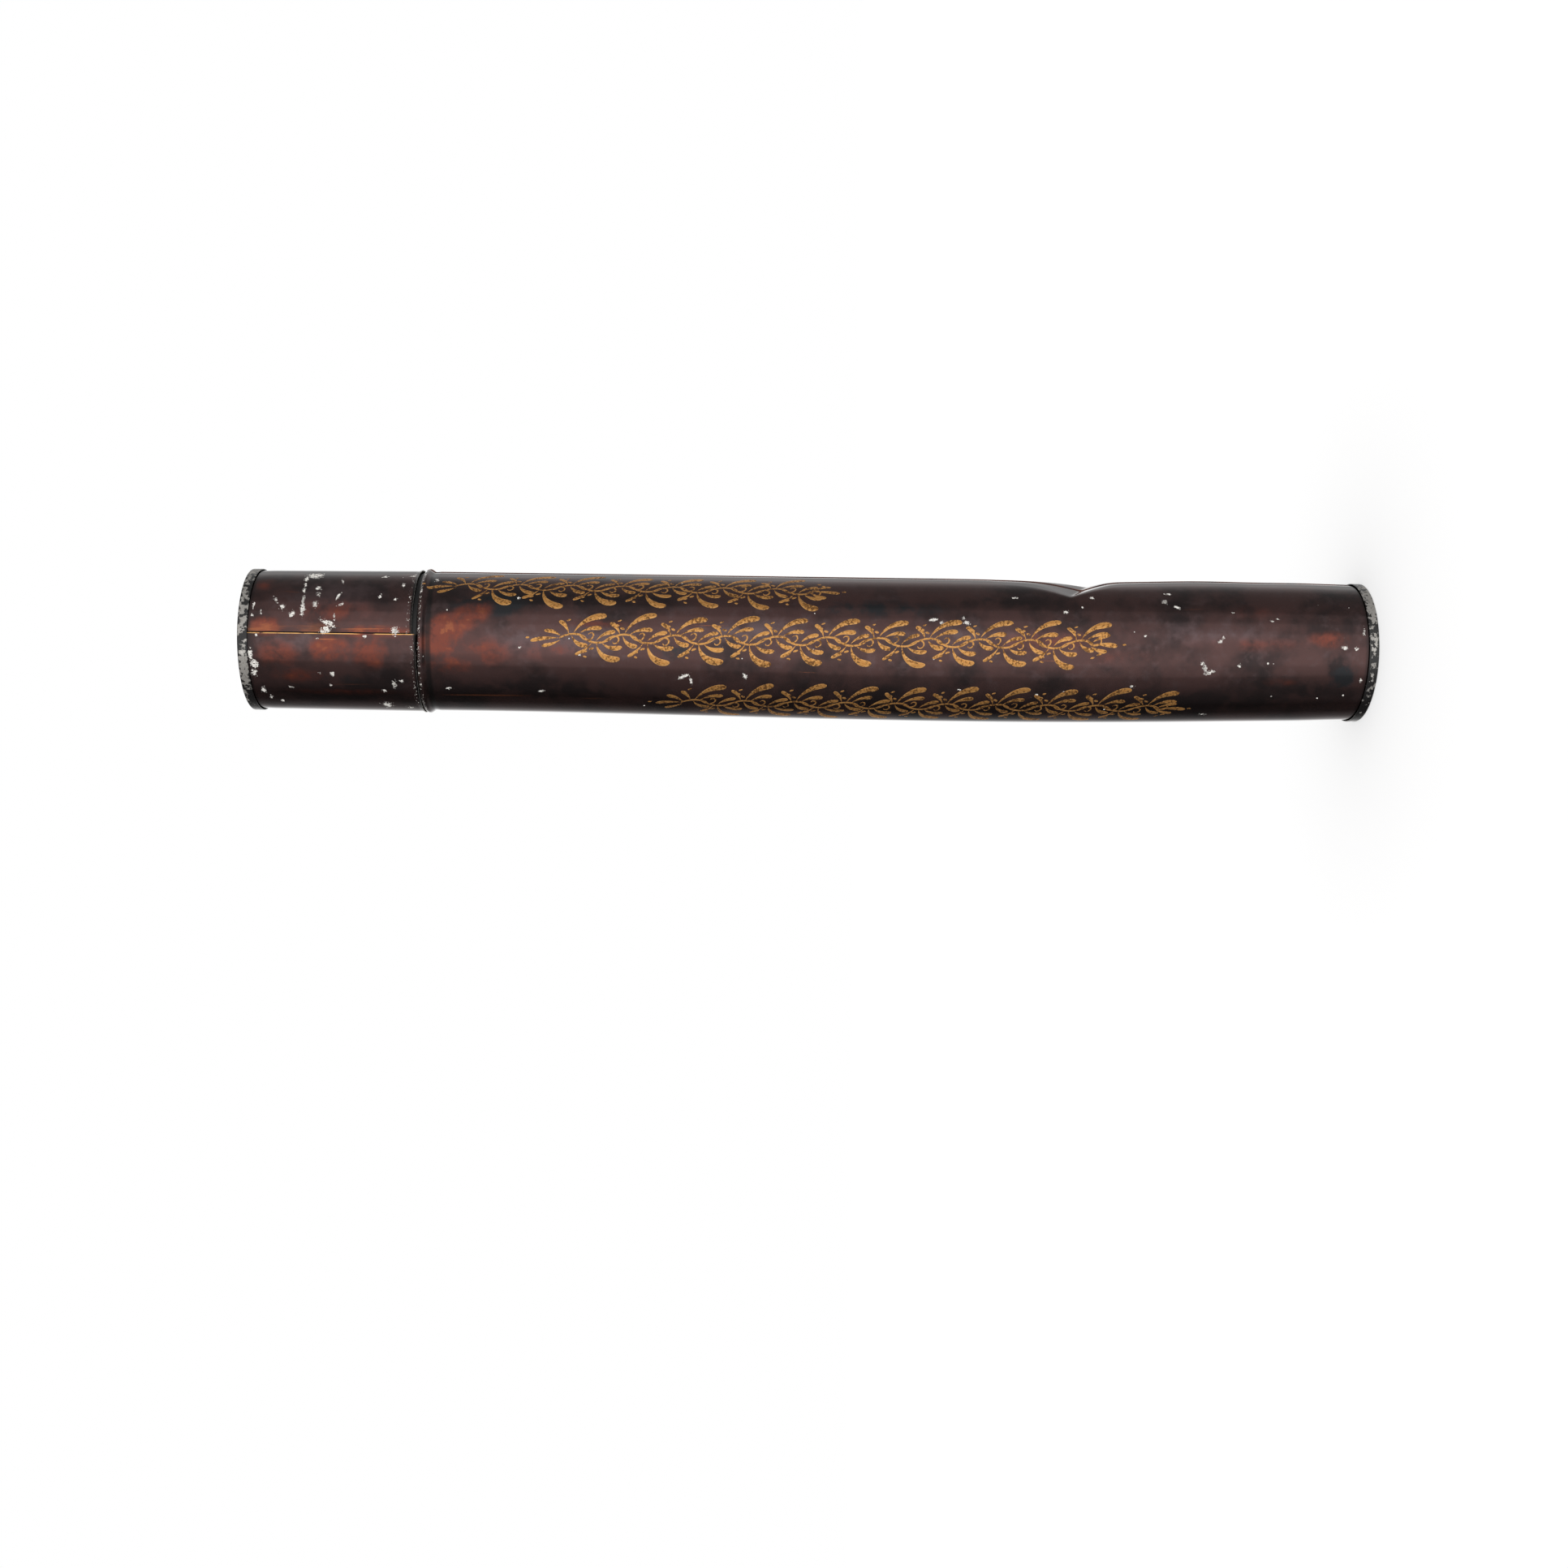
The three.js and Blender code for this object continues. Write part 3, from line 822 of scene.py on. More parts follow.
CAP_CHIPS = [
    (62, 382, 3.4, 4.6, 0, 1), (55, 384.6, 2.6, 1.2, 0, 0.9), (47, 384.3, 3, 0.9, 0, 0.8),
    (39, 384.2, 2.6, 0.9, 8, 0.7), (30, 384, 3.4, 1, 0, 0.9), (21, 383.8, 3.6, 1.3, 0, 1),
    (43, 379.5, 2, 1.6, 0, 0.9), (36, 379, 1.8, 1.4, 0, 0.8), (26, 379.7, 1.8, 1.6, 20, 0.9),
    (23, 391, 1.8, 1.6, 30, 0.9), (29, 393.5, 2.6, 0.9, 35, 0.8), (17, 387.5, 2.2, 1.4, -40, 0.9),
    (18, 398.5, 1.6, 1, 0, 0.8), (25, 401.2, 2.6, 0.8, 0, 0.7), (16, 401.5, 1.2, 0.8, 0, 0.8),
    (9.5, 374.5, 1.8, 4.4, -25, 0.95), (4, 375.5, 1.9, 3.4, 20, 1), (14, 372.5, 3.2, 0.7, 8, 0.7),
    (26, 370.5, 0.9, 2, 28, 0.9), (34, 371.8, 2.6, 0.9, -25, 0.9), (52, 371.5, 2.6, 0.7, 12, 0.7),
    (4, 351, 2.4, 2.2, -35, 1), (34, 357, 1.6, 1, 0, 0.8), (47, 349.5, 1.9, 1.2, 0, 0.8),
    (31, 351.5, 1.1, 1.3, 0, 0.7), (60, 357, 1.3, 2.4, 0, 0.7), (62, 347, 1, 2.2, 0, 0.7),
    (-0.5, 399.6, 0.8, 0.8, 0, 1), (-3, 378, 0.8, 0.9, 0, 0.9), (-1, 361.5, 0.9, 1.2, 0, 0.9),
    (-32, 373.5, 1.5, 1.2, 0, 0.9), (-31, 378, 0.8, 0.8, 0, 0.7), (-43, 374.5, 0.8, 0.7, 0, 0.7),
    (-41, 352, 3, 1.4, 0, 0.9), (-38, 349.5, 1.2, 1.2, 0, 0.8), (-48, 356, 1.1, 1.2, 0, 0.7),
    (-69, 356, 3.4, 3.4, 0, 0.75), (-74, 348, 2.4, 3, 0, 0.65), (-49.5, 399, 2.2, 1.4, 0, 0.9),
    (-58, 397, 2, 1, 0, 0.8), (-15.5, 402, 3.6, 1.4, 0, 0.95), (-24, 400.8, 2.6, 2.2, 0, 1),
    (-32, 401.2, 3.2, 1.4, 0, 0.9), (-46, 389, 1, 1.6, 0, 0.7), (-64, 393.5, 1.4, 1, 0, 0.7),
    (150, 371, 2.4, 4, 30, 0.9), (170, 384, 3, 1.4, 0, 0.9), (-150, 362, 2.2, 1.2, -20, 0.9),
    (-120, 380, 1.4, 3.2, 15, 0.85), (115, 392, 2.6, 1.2, 0, 0.9), (-172, 396, 1.2, 2, 0, 0.8),
]

BODY_CHIPS = [
    (-18, 62.5, 3.25, 1.12, 18, 0.95), (-22, 60.5, 1.12, 3.25, 20, 0.95), (-15, 63.5, 1.25, 1.25, 0, 0.7),
    (41, 76, 1.62, 2, 40, 0.9), (35, 72, 1, 2.5, -30, 0.85), (51, 74, 1, 2.75, 0, 0.8),
    (4, 57, 1.25, 1.25, 0, 0.9), (7, 56, 1, 1, 0, 0.8), (-16, 50, 1.12, 1.12, 0, 0.85),
    (22, 38, 0.88, 1.12, 0, 0.85), (24, 36, 0.75, 0.88, 0, 0.75), (0, 12.5, 1.5, 1.62, 20, 1),
    (-1, 8, 1.12, 1.5, 0, 1), (-28, 5.5, 1.5, 1, 0, 0.9), (14, 5.2, 2.5, 0.88, 0, 0.8),
    (-31, 249, 1.12, 3.25, 28, 0.95), (-34, 246.5, 2.5, 1, 20, 0.9), (-30, 227, 1.62, 1.25, 35, 0.9),
    (20, 160, 1, 2.5, 10, 0.9), (18, 157, 1, 1.25, 0, 0.8), (18, 148, 1.38, 2, -20, 0.9),
    (22, 149, 1, 1, 0, 0.8), (29, 112, 1, 1.75, 0, 0.85), (44, 130, 0.88, 1.75, 0, 0.8),
    (45, 102, 1, 1.5, 0, 0.8), (34, 106, 1.12, 0.88, 0, 0.75), (-8, 203, 1, 1, 0, 0.8),
    (35, 308, 1, 1, 0, 0.9), (-13, 286, 0.88, 1, 0, 0.85), (-8, 307, 0.75, 0.88, 0, 0.8),
    (57, 338, 2.25, 1.5, 0, 0.8), (-47, 300, 0.75, 2, 0, 0.8), (-45, 333, 0.88, 2.25, 0, 0.7),
    (-40, 150, 0.75, 1.5, 0, 0.8), (-44, 122, 1.25, 1, 0, 0.8), (-66, 60, 1.12, 2.25, 0, 0.7),
    (-35, 88, 0.88, 1.5, 0, 0.8), (8, 84, 0.88, 0.88, 0, 0.8), (30, 52, 0.75, 1, 0, 0.7),
    (140, 250, 1.75, 4.5, 20, 0.9), (165, 120, 3, 1.5, -30, 0.9), (-140, 180, 1.5, 5, 10, 0.9),
    (-165, 300, 2.5, 1.62, 0, 0.9), (120, 60, 2.25, 1.75, 25, 0.9), (-115, 90, 1.5, 2.75, -15, 0.85),
    (-100, 230, 1, 4, 5, 0.8), (105, 190, 1.25, 2.5, 30, 0.8), (180, 40, 2, 3, 40, 0.85),
]

CAP_RED = [
    (-14, 360, 8, 9, 0, 0.8), (-12, 374, 7, 11, 0, 0.8), (-16, 392, 8, 12, 0, 0.5),
    (3, 358, 3.4, 20, 0, 0.75), (7, 396, 5, 9, 0, 0.7), (-34, 386, 5, 14, 0, 0.5), (47, 398, 5, 6, 0, 0.5),
    (-50, 372, 3, 30, 0, 0.4), (20, 372, 9, 26, 0, 0.36), (160, 370, 10, 14, 0, 0.5),
    (-110, 384, 9, 12, 0, 0.45),
]
CAP_DARK = [
    (-50, 370, 9, 34, 0, 0.6), (70, 372, 6, 34, 0, 0.5), (-34, 352, 5, 8, 0, 0.5),
    (28, 356, 6, 10, 0, 0.35), (-120, 368, 14, 26, 0, 0.4),
]
CAP_BLUE = [
    (-36, 372, 6, 18, 0, 0.35), (130, 380, 12, 20, 0, 0.4),
]
CAP_MAUVE = [
    (32, 374, 11, 30, 0, 0.5), (-6, 384, 6, 18, 0, 0.45),
]

BODY_RED = [
    (6, 333, 8, 9, 0, 0.95), (-6, 335, 7, 11, 0, 0.8), (17, 325, 7, 12, 30, 0.8), (-12, 322, 9, 20, 0, 0.5),
    (-22, 330, 6, 16, 0, 0.5), (-10, 296, 7, 22, 0, 0.36), (12, 280, 3, 24, 0, 0.3),
    (-10, 100, 6, 40, 0, 0.24), (6, 18, 5, 12, 0, 0.5), (2, 46, 5, 44, 0, 0.27), (30, 42, 7, 22, 0, 0.26),
    (-30, 34, 3, 12, 0, 0.3), (2, 120, 8, 40, 0, 0.3), (165, 200, 16, 60, 0, 0.4),
    (-130, 320, 10, 20, 0, 0.5), (150, 30, 12, 18, 0, 0.45),
]
BODY_DARK = [
    (-46, 300, 8, 60, 0, 0.6), (34, 290, 7, 70, 0, 0.6), (-16, 15, 7, 7, 40, 0.8), (-50, 60, 9, 70, 0, 0.6),
    (38, 130, 7, 60, 0, 0.45), (-42, 190, 8, 60, 0, 0.45), (-36, 26, 7, 20, 0, 0.6),
    (120, 120, 16, 60, 0, 0.4),
]
BODY_BLUE = [
    (28, 318, 7, 18, 0, 0.8), (-8, 250, 6, 22, 0, 0.4), (-24, 12, 6, 8, 30, 0.8), (30, 180, 6, 40, 0, 0.5),
    (-90, 140, 12, 50, 0, 0.5), (170, 300, 14, 40, 0, 0.5),
]
BODY_SCRATCHES = [
    (-53, 320, 0.5, 22, 0.4, 1.3), (-55, 282, 0.25, 8, 0, 0.8), (12, 240, 0.25, 12, 1, 0.7),
    (-26, 205, 0.2, 9, -2, 0.6), (33, 66, 0.2, 8, 3, 0.6), (-14, 118, 0.2, 12, -1, 0.6),
    (150, 210, 0.3, 16, 4, 0.8), (-120, 260, 0.25, 12, -3, 0.8),
]
CAP_SCRATCHES = [
    (-3.4, 375, 0.4, 6, 0, 1), (5.2, 362, 0.35, 13, 1, 1), (-42, 368, 0.2, 16, 1, 0.6),
    (38, 388, 0.2, 7, -6, 0.6), (-130, 370, 0.3, 12, 5, 0.8), (140, 384, 0.25, 9, -4, 0.8),
]
BODY_MAUVE = [
    (-3, 292, 8, 40, 0, 0.75), (8, 220, 8, 50, 0, 0.5), (6, 150, 8, 50, 0, 0.4), (10, 60, 7, 34, 0, 0.5),
]

# How much of a rim and its disc is worn to the tin away from the patches, as a level of the noise
RIM_WORN_SHARE = 0.43

BOTTOM_RIM_WORN = [
    (38, 1.6, 11, 2.2, 0, 0.9), (4, 1.8, 6, 2.2, 0, 1), (-22, 2, 5, 1.6, 0, 0.6),
    (70, 0.8, 10, 1.2, 0, 0.7), (160, 1.6, 22, 3, 0, 0.7), (-110, 1.2, 14, 3, 0, 0.6),
]
CAP_RIM_WORN = [
    (24, 405, 20, 2, 0, 0.65), (-20, 404.4, 12, 2.4, 0, 0.8), (62, 405.2, 12, 1.6, 0, 0.55),
    (-62, 405.6, 12, 1.2, 0, 0.5), (150, 404.6, 26, 2.6, 0, 0.8), (-120, 405, 12, 2.2, 0, 0.6),
]


def japan_material(name, s, c, radius, seam, seam_side, chips, tones):
    """Worn japan over tin: clouded brown with placed dark, blue, mauve and red tones, flaked chips
    and flecks, the lap seam's crevice darkened with grime and painted shade, its rubbed edge with a
    painted highlight, solder stain, and painted shade at the skirt, the bead's groove and the gaps by the
    mouth."""
    material = bpy.data.materials.new(name)
    tree = Tree(material)
    position = tree.position()
    skin = tree.skin(position, radius)
    arc = tree.node("ShaderNodeSeparateXYZ", None, {0: skin})
    height = arc.other("Y")

    cloud = tree.noise(position, 22, 4, 0.6)
    mottle = tree.noise(position, 5, 5, 0.62, 3.1)
    fine = tree.noise(position, 1.1, 4, 0.6, 7.7)
    grit = tree.noise(position, 0.42, 3, 0.6, 1.3)

    base = tree.mix(cloud.step_up(0.42, 0.68), c.japan, c.japan_dark)
    base = tree.mix((mottle.step_up(0.5, 0.72)) * 0.45, base, c.japan_mauve)
    softened = 0.45 + 0.95 * (0.6 * mottle + 0.4 * cloud).step_up(0.38, 0.62)
    for key, paint, low, high in (
            ("mauve", c.japan_mauve, 0.05, 0.6), ("dark", c.japan_dark, 0.05, 0.55),
            ("blue", c.japan_blue, 0.08, 0.5), ("red", c.japan_red, 0.08, 0.55)):
        tone = tree.patches(skin, radius, tones[key]) * softened
        base = tree.mix(tone.step_up(low, high), base, paint)
    hearts = (tone * (0.3 + 0.9 * mottle.step_up(0.44, 0.62))).step_up(0.45, 1)
    base = tree.mix(hearts * 0.5, base, c.copper)
    scratch = tree.patches(skin, radius, tones["scratches"]) * (0.3 + 1.4 * fine)
    base = tree.mix(scratch.step_up(0.2, 0.7) * 0.8, base, c.copper)
    specks = fine.step_up(0.63, 0.7) * 0.35
    base = tree.mix(specks, base, c.japan_dark)

    from_seam = (arc - seam * radius) * seam_side
    beside = from_seam.step_up(-4.2 * MM, -0.4 * MM) * from_seam.step_up(0, -0.2 * MM)
    streak = tree.noise(tree.vector("MULTIPLY", position, (1, 1, 0.12)), 1.2, 4, 0.6, 5.0)
    rubbed = beside * (0.5 * streak + 0.6 * cloud).step_up(0.52, 0.68)
    base = tree.mix(rubbed * 0.75, base, c.copper)
    # Painted shade with grime: the hairline crevice beside the lap's free edge is darkened.
    dirt_and_shade = from_seam.step_up(-0.6 * MM, -0.35 * MM) * from_seam.step_up(0.05 * MM, -0.05 * MM)
    base = tree.mix(dirt_and_shade * 0.95, base, c.crevice)
    # The lap's free edge is rubbed and lightened: wear with a painted highlight, in light gold on the cap
    # and faint copper on the body.
    edge = from_seam.step_up(-0.02 * MM, 0.04 * MM) * from_seam.step_up(0.4 * MM, 0.25 * MM)
    rubbed_edge_and_highlight = edge * streak.step_up(0.4, 0.5)
    if seam_side < 0:
        base = tree.mix(rubbed_edge_and_highlight, base, c.gold_light)
    else:
        base = tree.mix(rubbed_edge_and_highlight * 0.3, base, c.copper)

    placed = tree.patches(skin, radius, chips)
    ragged = 0.4 * fine + 0.6 * grit
    broken = 2.8 * (ragged - 0.5) + placed.step_up(0, 0.75) * 0.5
    chip = broken.step_up(0.34, 0.39) * placed.step_up(0, 0.06)
    cells = tree.cells(position, 5.5)
    chosen = tree.node("ShaderNodeSeparateColor", None, {0: cells.other("Color")})
    fleck_size = chosen.step_up(0.35, 1) * (0.035 + 0.06 * chosen.other("Green")) * cloud.step_up(0.4, 0.54)
    fleck = (fleck_size - cells + 0.04 * grit).step_up(0.014, 0.03)
    bare = chip.most(fleck)

    # Painted shade: the wall darkens towards the end disc's skirt.
    if seam_side < 0:
        skirt = s.overall_length - s.skirt_depth
        skirt_shade = height.step_up(skirt - 1.6 * MM, skirt - 0.1 * MM)
    else:
        skirt_shade = height.step_up(s.skirt_depth + 1.7 * MM, s.skirt_depth + 0.1 * MM)
    base = tree.mix(skirt_shade * 0.6, base, c.crevice)
    if seam_side > 0:
        flank = abs(height - s.bead_crown - 0.45 * MM).step_up(0.6 * MM, 0.3 * MM)
        extra = flank * (0.5 * fine + 0.5 * grit).step_up(0.53, 0.6)
        # Painted shade: the wall darkens in the groove below the bead and at the body's top edge, in the gap
        # under the cap.
        root = abs(height - s.groove_centre + 0.4 * MM).step_up(1.5 * MM, 0.4 * MM)
        mouth = height.step_up(s.bead_crown + 0.8 * MM, s.bead_crown + 1.1 * MM)
        base = tree.mix(root.most(mouth) * 0.75, base, c.crevice)
    else:
        way = (from_seam / (FULL_TURN * radius)).math("FRACT", from_seam / (FULL_TURN * radius))
        lift = s.mouth_skew * way * way * (3 - 2 * way)
        above = height - lift - s.cap_mouth
        # Painted shade: the cap's wall darkens over its last millimetre above the skewed mouth, in the gap
        # over the bead.
        base = tree.mix(above.step_up(1.0 * MM, 0.35 * MM) * 0.85, base, c.crevice)
        lip = above.step_up(0.5 * MM, 0.9 * MM) * above.step_up(2.2 * MM, 1.4 * MM)
        extra = lip * (0.5 * fine + 0.5 * grit).step_up(0.56, 0.62)
    bare = bare.most(extra)

    tin = tree.mix(mottle.step_up(0.52, 0.66), c.tin, c.tin_dull)
    base = tree.mix(bare, base, tin)
    haze = tree.noise(position, 9, 4, 0.65, 2.2)
    tree.surface(
        0.5 * mottle + 0.3 * haze + 0.04 * fine, 0.05 * MM,
        Base_Color=base, Metallic=0.95 - 0.8 * bare,
        Roughness=0.06 + 0.1 * haze + 0.34 * bare,
        Coat_Weight=0.7 - 0.7 * bare, Coat_Roughness=0.04, Coat_IOR=1.42)
    return material


def rim_material(name, c, radius, worn):
    """A skirt or disc where the japan has worn down to grey tin: the least share of it is worn
    everywhere and more in placed patches, with black spots of japan left between."""
    material = bpy.data.materials.new(name)
    tree = Tree(material)
    position = tree.position()
    fine = tree.noise(position, 1.5, 4, 0.62)
    cloud = tree.noise(position, 8, 4, 0.6, 4.0)
    grit = tree.noise(position, 0.5, 3, 0.6, 6.0)
    placed = tree.patches(tree.skin(position, radius), radius, worn)
    flat = tree.vector("LENGTH", tree.vector("MULTIPLY", position, (1, 1, 0)), (0, 0, 0), "Value")
    kept = 0.11 * flat.step_up(radius - 0.5 * MM, radius - 5 * MM) - 0.11 * placed.step_up(0, 0.8)
    left = (0.6 * fine + 0.4 * cloud + kept).step_up(RIM_WORN_SHARE, RIM_WORN_SHARE + 0.035)
    brown = tree.mix(cloud.step_up(0.4, 0.62), c.japan, c.japan_dark)
    tin = tree.mix(cloud.step_up(0.48, 0.74), c.tin_dull, c.tin)
    tin = tree.mix(grit.step_up(0.52, 0.7) * 0.7, tin, c.tin_tarnish)
    rest = tree.mix(flat.step_up(radius - 3 * MM, radius), brown, c.crevice)
    tree.surface(
        0.3 * left + 0.2 * fine, 0.1 * MM,
        Base_Color=tree.mix(left, tin, rest), Metallic=0.7 - 0.4 * left,
        Roughness=0.42 - 0.2 * left + 0.1 * grit, Coat_Weight=0.6 * left, Coat_Roughness=0.1)
    return material


def bare_tin_material(name, c, dirt_and_shade_from=0, dirt_and_shade_to=0):
    """Dull bare tinplate: streaked along the sheet, with brown tarnish in clouds and pinholes, and
    where two heights are given, a black band of grime and painted shade that fades from one to the other."""
    material = bpy.data.materials.new(name)
    tree = Tree(material)
    position = tree.position()
    stretched = tree.vector("MULTIPLY", position, (1, 1, 0.06))
    streak = tree.noise(stretched, 0.9, 4, 0.6)
    cloud = tree.noise(position, 14, 5, 0.6, 2.0)
    grit = tree.noise(position, 0.6, 3, 0.6, 9.0)
    base = tree.mix(streak.step_up(0.3, 0.72) * 0.5, c.tin_dull, c.tin)
    base = tree.mix(cloud.step_up(0.5, 0.74) * 0.75, base, c.tin_tarnish)
    base = tree.mix(grit.step_up(0.66, 0.74), base, c.tin_tarnish)
    metal = 0.9 - 0.4 * cloud.step_up(0.5, 0.8)
    if dirt_and_shade_to > dirt_and_shade_from:
        height = tree.node("ShaderNodeSeparateXYZ", None, {0: position}, output="Z")
        # Painted shade with grime: black that fades out over the given heights.
        dirt_and_shade = (height + (cloud - 0.5) * 2 * MM).step_up(dirt_and_shade_to, dirt_and_shade_from)
        base = tree.mix(dirt_and_shade, base, c.crevice)
        metal = metal * (1 - dirt_and_shade)
    tree.surface(
        0.5 * streak + 0.3 * grit, 0.03 * MM,
        Base_Color=base, Metallic=metal, Roughness=0.34 + 0.22 * cloud)
    return material


def gilding_material(name, c):
    """Gilding laid by brush: thicker and lighter along a stroke's edges, streaked along its way,
    rubbed through to the japan in specks."""
    material = bpy.data.materials.new(name)
    tree = Tree(material)
    position = tree.position()
    stroke = tree.node("ShaderNodeUVMap", {"uv_map": "Stroke"})
    way = tree.node("ShaderNodeSeparateXYZ", None, {0: stroke})
    across = way.other("Y")
    fine = tree.noise(position, 0.8, 4, 0.65)
    cloud = tree.noise(position, 6, 4, 0.6, 3.0)
    brushed = tree.noise(tree.node("ShaderNodeCombineXYZ", None, {
        "X": way * 0.004, "Y": across * 0.012, "Z": cloud * 0.002}), 1.0, 3, 0.6)
    rim = abs(across - 0.5).step_up(0.30, 0.46)
    base = tree.mix(brushed.step_up(0.4, 0.62), c.gold, c.gold_light)
    base = tree.mix(rim * 0.6, base, c.gold_light)
    rubbed = (0.6 * fine + 0.3 * cloud + 0.1 * brushed).step_up(0.5, 0.56)
    base = tree.mix(rubbed * 0.85, base, c.gold_dark)
    tree.surface(
        0.4 * brushed + 0.4 * fine, 0.03 * MM,
        Base_Color=base, Metallic=0.85, Roughness=0.3 + 0.2 * fine)
    return material


# Stage

# The camera, turned so that the tube lies across the picture
LENS = 43.45
CAMERA_DISTANCE = 698.0
CAMERA_ASIDE = 9.5
CAMERA_ABOVE = 50.83
CAMERA_ROLL = -0.609
CAMERA_YAW = 1.400

# What reflections see straight above and below, the soft light from all sides, plain white, and
# the floor's own glow
OVERHEAD = (0.22, 0.22, 0.22)
SOFT_LIGHT = (0.9, 0.9, 0.9)
WHITE = (1, 1, 1)
FLOOR_GLOW = 0.5

# Brightness of the studio round the tube, by angle from the front: white behind, darker flags at
# the sides and a wide soft light at the front
STUDIO = [
    (-180, 1), (-170, 0.95), (-158, 0.45), (-142, 0.18), (-120, 0.05), (-100, 0.06), (-84, 0.16),
    (-67, 0.24), (-51, 0.34), (-44, 0.4), (-40, 0.6), (-26, 0.8), (-22, 0.96), (-12, 1), (24, 1),
    (28, 0.82), (42, 0.74), (46, 0.54), (60, 0.46), (64, 0.32), (74, 0.28), (98, 0.26), (112, 0.27),
    (126, 0.42), (137, 0.56), (146, 0.4), (153, 0.32), (162, 0.75), (171, 1), (180, 1),
]


def make_camera(context, middle):
    """The camera looks level at the tube from the front and lies on its side."""
    roll, yaw = math.radians(CAMERA_ROLL), math.radians(CAMERA_YAW)
    right = Vector((-math.sin(roll), -math.cos(roll) * math.sin(yaw), -math.cos(roll) * math.cos(yaw)))
    up = Vector((math.cos(roll), -math.sin(roll) * math.sin(yaw), -math.sin(roll) * math.cos(yaw)))
    back = Vector((0, -math.cos(yaw), math.sin(yaw)))
    place = middle + MM * (CAMERA_DISTANCE * back - CAMERA_ASIDE * right - CAMERA_ABOVE * up)
    data = bpy.data.cameras.new("camera")
    data.lens = LENS
    data.sensor_width = 36
    data.clip_start = 0.01
    data.clip_end = 20
    camera = bpy.data.objects.new("camera", data)
    turned = Matrix((right, up, back)).transposed().to_4x4()
    camera.matrix_world = Matrix.Translation(place) @ turned
    context.scene.collection.objects.link(camera)
    context.scene.camera = camera


def make_world(context):
    """The world is white to the camera. Reflections see the same white with the studio's flags in
    it, by the angle round the tube, and the rest is lit softly from all sides."""
    world = bpy.data.worlds.new("studio")
    context.scene.world = world
    tree = Tree(world)
    toward = tree.node("ShaderNodeTexCoord", output="Generated")
    x = tree.node("ShaderNodeSeparateXYZ", None, {0: toward})
    turn = x.math("ARCTAN2", x, -x.other("Y"))
    stops = [(degrees / 360 + 0.5, value) for degrees, value in STUDIO]
    flags = tree.node("ShaderNodeValToRGB", {"stops": stops}, {0: turn / FULL_TURN + 0.5})
    level = abs(x.other("Z")).step_up(0.6, 0.97)
    paths = tree.node("ShaderNodeLightPath", output="Is Camera Ray")
    seen = paths.most(paths.other("Is Transmission Ray"))
    flags = tree.mix(level, flags, OVERHEAD)
    shade = tree.mix(paths.other("Is Glossy Ray"), SOFT_LIGHT, flags)
    light = tree.mix(seen, shade, WHITE)
    background = tree.node("ShaderNodeBackground", None, {"Color": light, "Strength": 1})
    tree.node("ShaderNodeOutputWorld", None, {"Surface": background})


def make_floor(context):
    """A wide pale floor just under the tube."""
    half, drop = 3.0, 0.05 * MM
    corners = half * np.array([[-1, -1, 0], [1, -1, 0], [1, 1, 0], [-1, 1, 0]]) - [0, 0, drop]
    floor = new_piece(context, "floor", corners, np.array([[0, 1, 2, 3]]))
    material = bpy.data.materials.new("pale_floor")
    tree = Tree(material)
    cloth = tree.node("ShaderNodeBsdfDiffuse", None, {"Color": (0.6, 0.6, 0.6, 1)})
    glow = tree.node("ShaderNodeEmission", None, {"Color": (*WHITE, 1), "Strength": FLOOR_GLOW})
    both = tree.node("ShaderNodeAddShader", None, {0: cloth, 1: glow})
    tree.node("ShaderNodeOutputMaterial", None, {"Surface": both})
    floor.data.materials.append(material)
    floor.visible_glossy = False


# Operators


class TUBE_OT_stage(Operator):
    """Sets up the camera, the white studio and the floor"""

    bl_idname = "document_tube.stage"
    bl_label = "Stage"

    def execute(self, context):
        context.scene.view_settings.view_transform = "Standard"
        low, high = cad_box
        make_camera(context, Vector((0, 0, (low[2] + high[2]) / 2)))
        make_world(context)
        make_floor(context)
        return {"FINISHED"}


class TUBE_OT_body_wall(Operator):
    """Rolls the body's sheet, with its lap seam, bead, groove and dent"""

    bl_idname = "document_tube.body_wall"
    bl_label = "Body wall"

    def execute(self, context):
        s, w, c = context.scene.tube_sizes, context.scene.tube_wear, context.scene.tube_finishes
        turns = sheet_turns(s, context.scene.tube_fineness.columns)
        outer, inner = sheet_layers(s, turns)
        outside = body_wall_points(s, w, body_rows(s, w, share=1), turns, outer)
        inside = body_wall_points(s, w, body_rows(s, w, share=0.6), turns, inner)[::-1]
        tones = {"mauve": BODY_MAUVE, "dark": BODY_DARK, "blue": BODY_BLUE, "red": BODY_RED,
                 "scratches": BODY_SCRATCHES}
        japan = japan_material("japan_body", s, c, s.body_radius, s.body_seam, 1, BODY_CHIPS, tones)
        tin = bare_tin_material("tin_body_inside", c)
        piece = rolled_piece(context, "tube_body", outside, inside, False, japan, tin)
        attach(piece, "tube")
        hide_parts("body_tube")
        return {"FINISHED"}


class TUBE_OT_collar(Operator):
    """Makes the inner collar that the cap slides over"""

    bl_idname = "document_tube.collar"
    bl_label = "Collar"

    def execute(self, context):
        s, c = context.scene.tube_sizes, context.scene.tube_finishes
        # The collar darkens at its base, just above the body's edge: painted shade in the gap under the cap,
        # with grime.
        dirt_and_shade_from = s.body_edge + s.mouth_skew + 0.6 * MM
        dirt_and_shade_to = dirt_and_shade_from + 1.5 * MM
        piece = collar_piece(context, s, bare_tin_material("tin_collar", c, dirt_and_shade_from, dirt_and_shade_to))
        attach(piece, "tube")
        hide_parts("inner_collar")
        return {"FINISHED"}


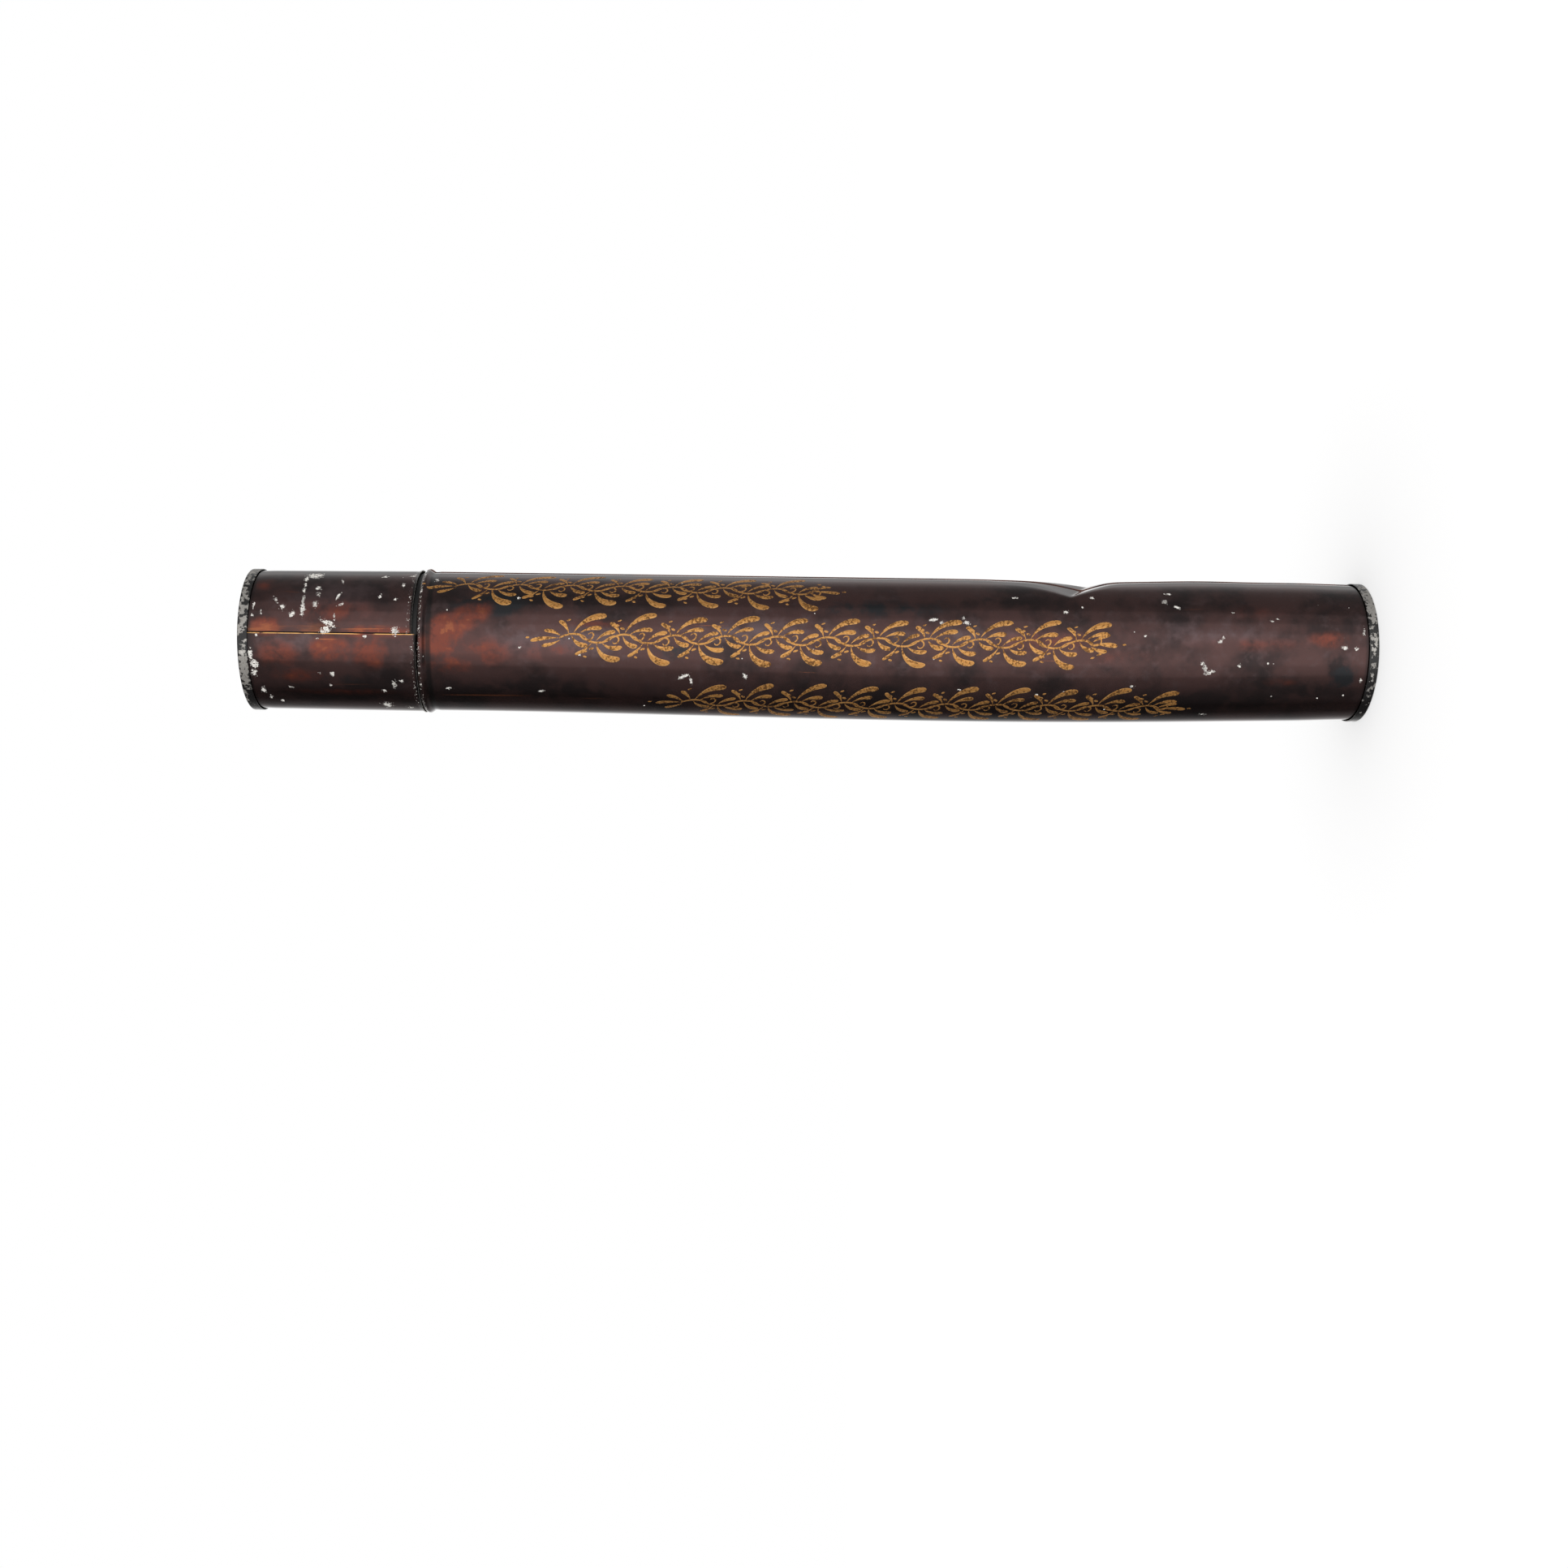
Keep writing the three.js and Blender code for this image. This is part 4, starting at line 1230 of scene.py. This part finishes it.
class TUBE_OT_end_discs(Operator):
    """Makes the end discs of the body and the cap, with their skirts"""

    bl_idname = "document_tube.end_discs"
    bl_label = "End discs"

    def execute(self, context):
        s, c = context.scene.tube_sizes, context.scene.tube_finishes
        for name, wall_radius, top, node, body, worn in (
                ("tube_bottom_disc", s.foot_radius, False, "bottom_disc", "tube", BOTTOM_RIM_WORN),
                ("cap_end_disc", s.cap_end_radius, True, "cap_disc", "cap", CAP_RIM_WORN)):
            material = rim_material("worn_" + node, c, wall_radius, worn)
            piece = pan_piece(context, s, name, wall_radius, top, material)
            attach(piece, body)
            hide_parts(node)
        return {"FINISHED"}


class TUBE_OT_cap_wall(Operator):
    """Rolls the cap's sheet, with its lap seam, skewed mouth and flared lip"""

    bl_idname = "document_tube.cap_wall"
    bl_label = "Cap wall"

    def execute(self, context):
        s, c = context.scene.tube_sizes, context.scene.tube_finishes
        turns = sheet_turns(s, context.scene.tube_fineness.columns)
        outer, inner = sheet_layers(s, turns)
        lap = s.lap_width / s.body_radius
        lift = smooth(turns / FULL_TURN)
        outer_lift = np.where(turns > 0, lift, 1)
        inner_lift = np.where(turns > lap, lift, 1)
        outside = cap_wall_points(s, cap_rows(s, share=1), turns, outer, outer_lift)
        inside = cap_wall_points(s, cap_rows(s, share=0.7), turns, inner, inner_lift)[::-1]
        tones = {"mauve": CAP_MAUVE, "dark": CAP_DARK, "blue": CAP_BLUE, "red": CAP_RED,
                 "scratches": CAP_SCRATCHES}
        japan = japan_material("japan_cap", s, c, s.body_radius, s.cap_seam, -1, CAP_CHIPS, tones)
        tin = bare_tin_material("tin_cap_inside", c)
        piece = rolled_piece(context, "cap_wall", outside, inside, True, japan, tin)
        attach(piece, "cap")
        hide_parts("cap_sleeve")
        return {"FINISHED"}


class TUBE_OT_ornament(Operator):
    """Lays rows of gilded vine ornament on the body"""

    bl_idname = "document_tube.ornament"
    bl_label = "Gilded ornament"

    def execute(self, context):
        s, w, c = context.scene.tube_sizes, context.scene.tube_wear, context.scene.tube_finishes
        rng = np.random.default_rng(ORNAMENT_SEED)
        gilding = gilding_material("gilding", c)
        for name, row_angle, start_height, row_length in ORNAMENT_ROWS:
            piece = ornament_piece(context, s, w, name, row_angle, start_height, row_length, rng, gilding)
            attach(piece, "tube")
        return {"FINISHED"}


class TUBE_PT_sidebar(Panel):
    """Lists the pieces of the tube"""

    bl_idname = "TUBE_PT_sidebar"
    bl_label = "Document tube"
    bl_space_type = "VIEW_3D"
    bl_region_type = "UI"
    bl_category = "Document tube"

    def draw(self, context):
        for operator in OPERATORS:
            self.layout.operator(operator.bl_idname)


OPERATORS = [
    TUBE_OT_stage, TUBE_OT_body_wall, TUBE_OT_collar, TUBE_OT_end_discs, TUBE_OT_cap_wall,
    TUBE_OT_ornament,
]
GROUPS = {
    "tube_sizes": TubeSizes, "tube_wear": WearSizes, "tube_fineness": Fineness,
    "tube_finishes": Finishes,
}


def register():
    for group in [*GROUPS.values(), *OPERATORS, TUBE_PT_sidebar]:
        bpy.utils.register_class(group)
    for name, group in GROUPS.items():
        setattr(bpy.types.Scene, name, PointerProperty(type=group))


def unregister():
    for name in GROUPS:
        delattr(bpy.types.Scene, name)
    for group in reversed([*GROUPS.values(), *OPERATORS, TUBE_PT_sidebar]):
        bpy.utils.unregister_class(group)


def main():
    register()
    bpy.ops.document_tube.stage()
    bpy.ops.document_tube.body_wall()
    bpy.ops.document_tube.collar()
    bpy.ops.document_tube.end_discs()
    bpy.ops.document_tube.cap_wall()
    bpy.ops.document_tube.ornament()


if __name__ == "__main__":
    main()
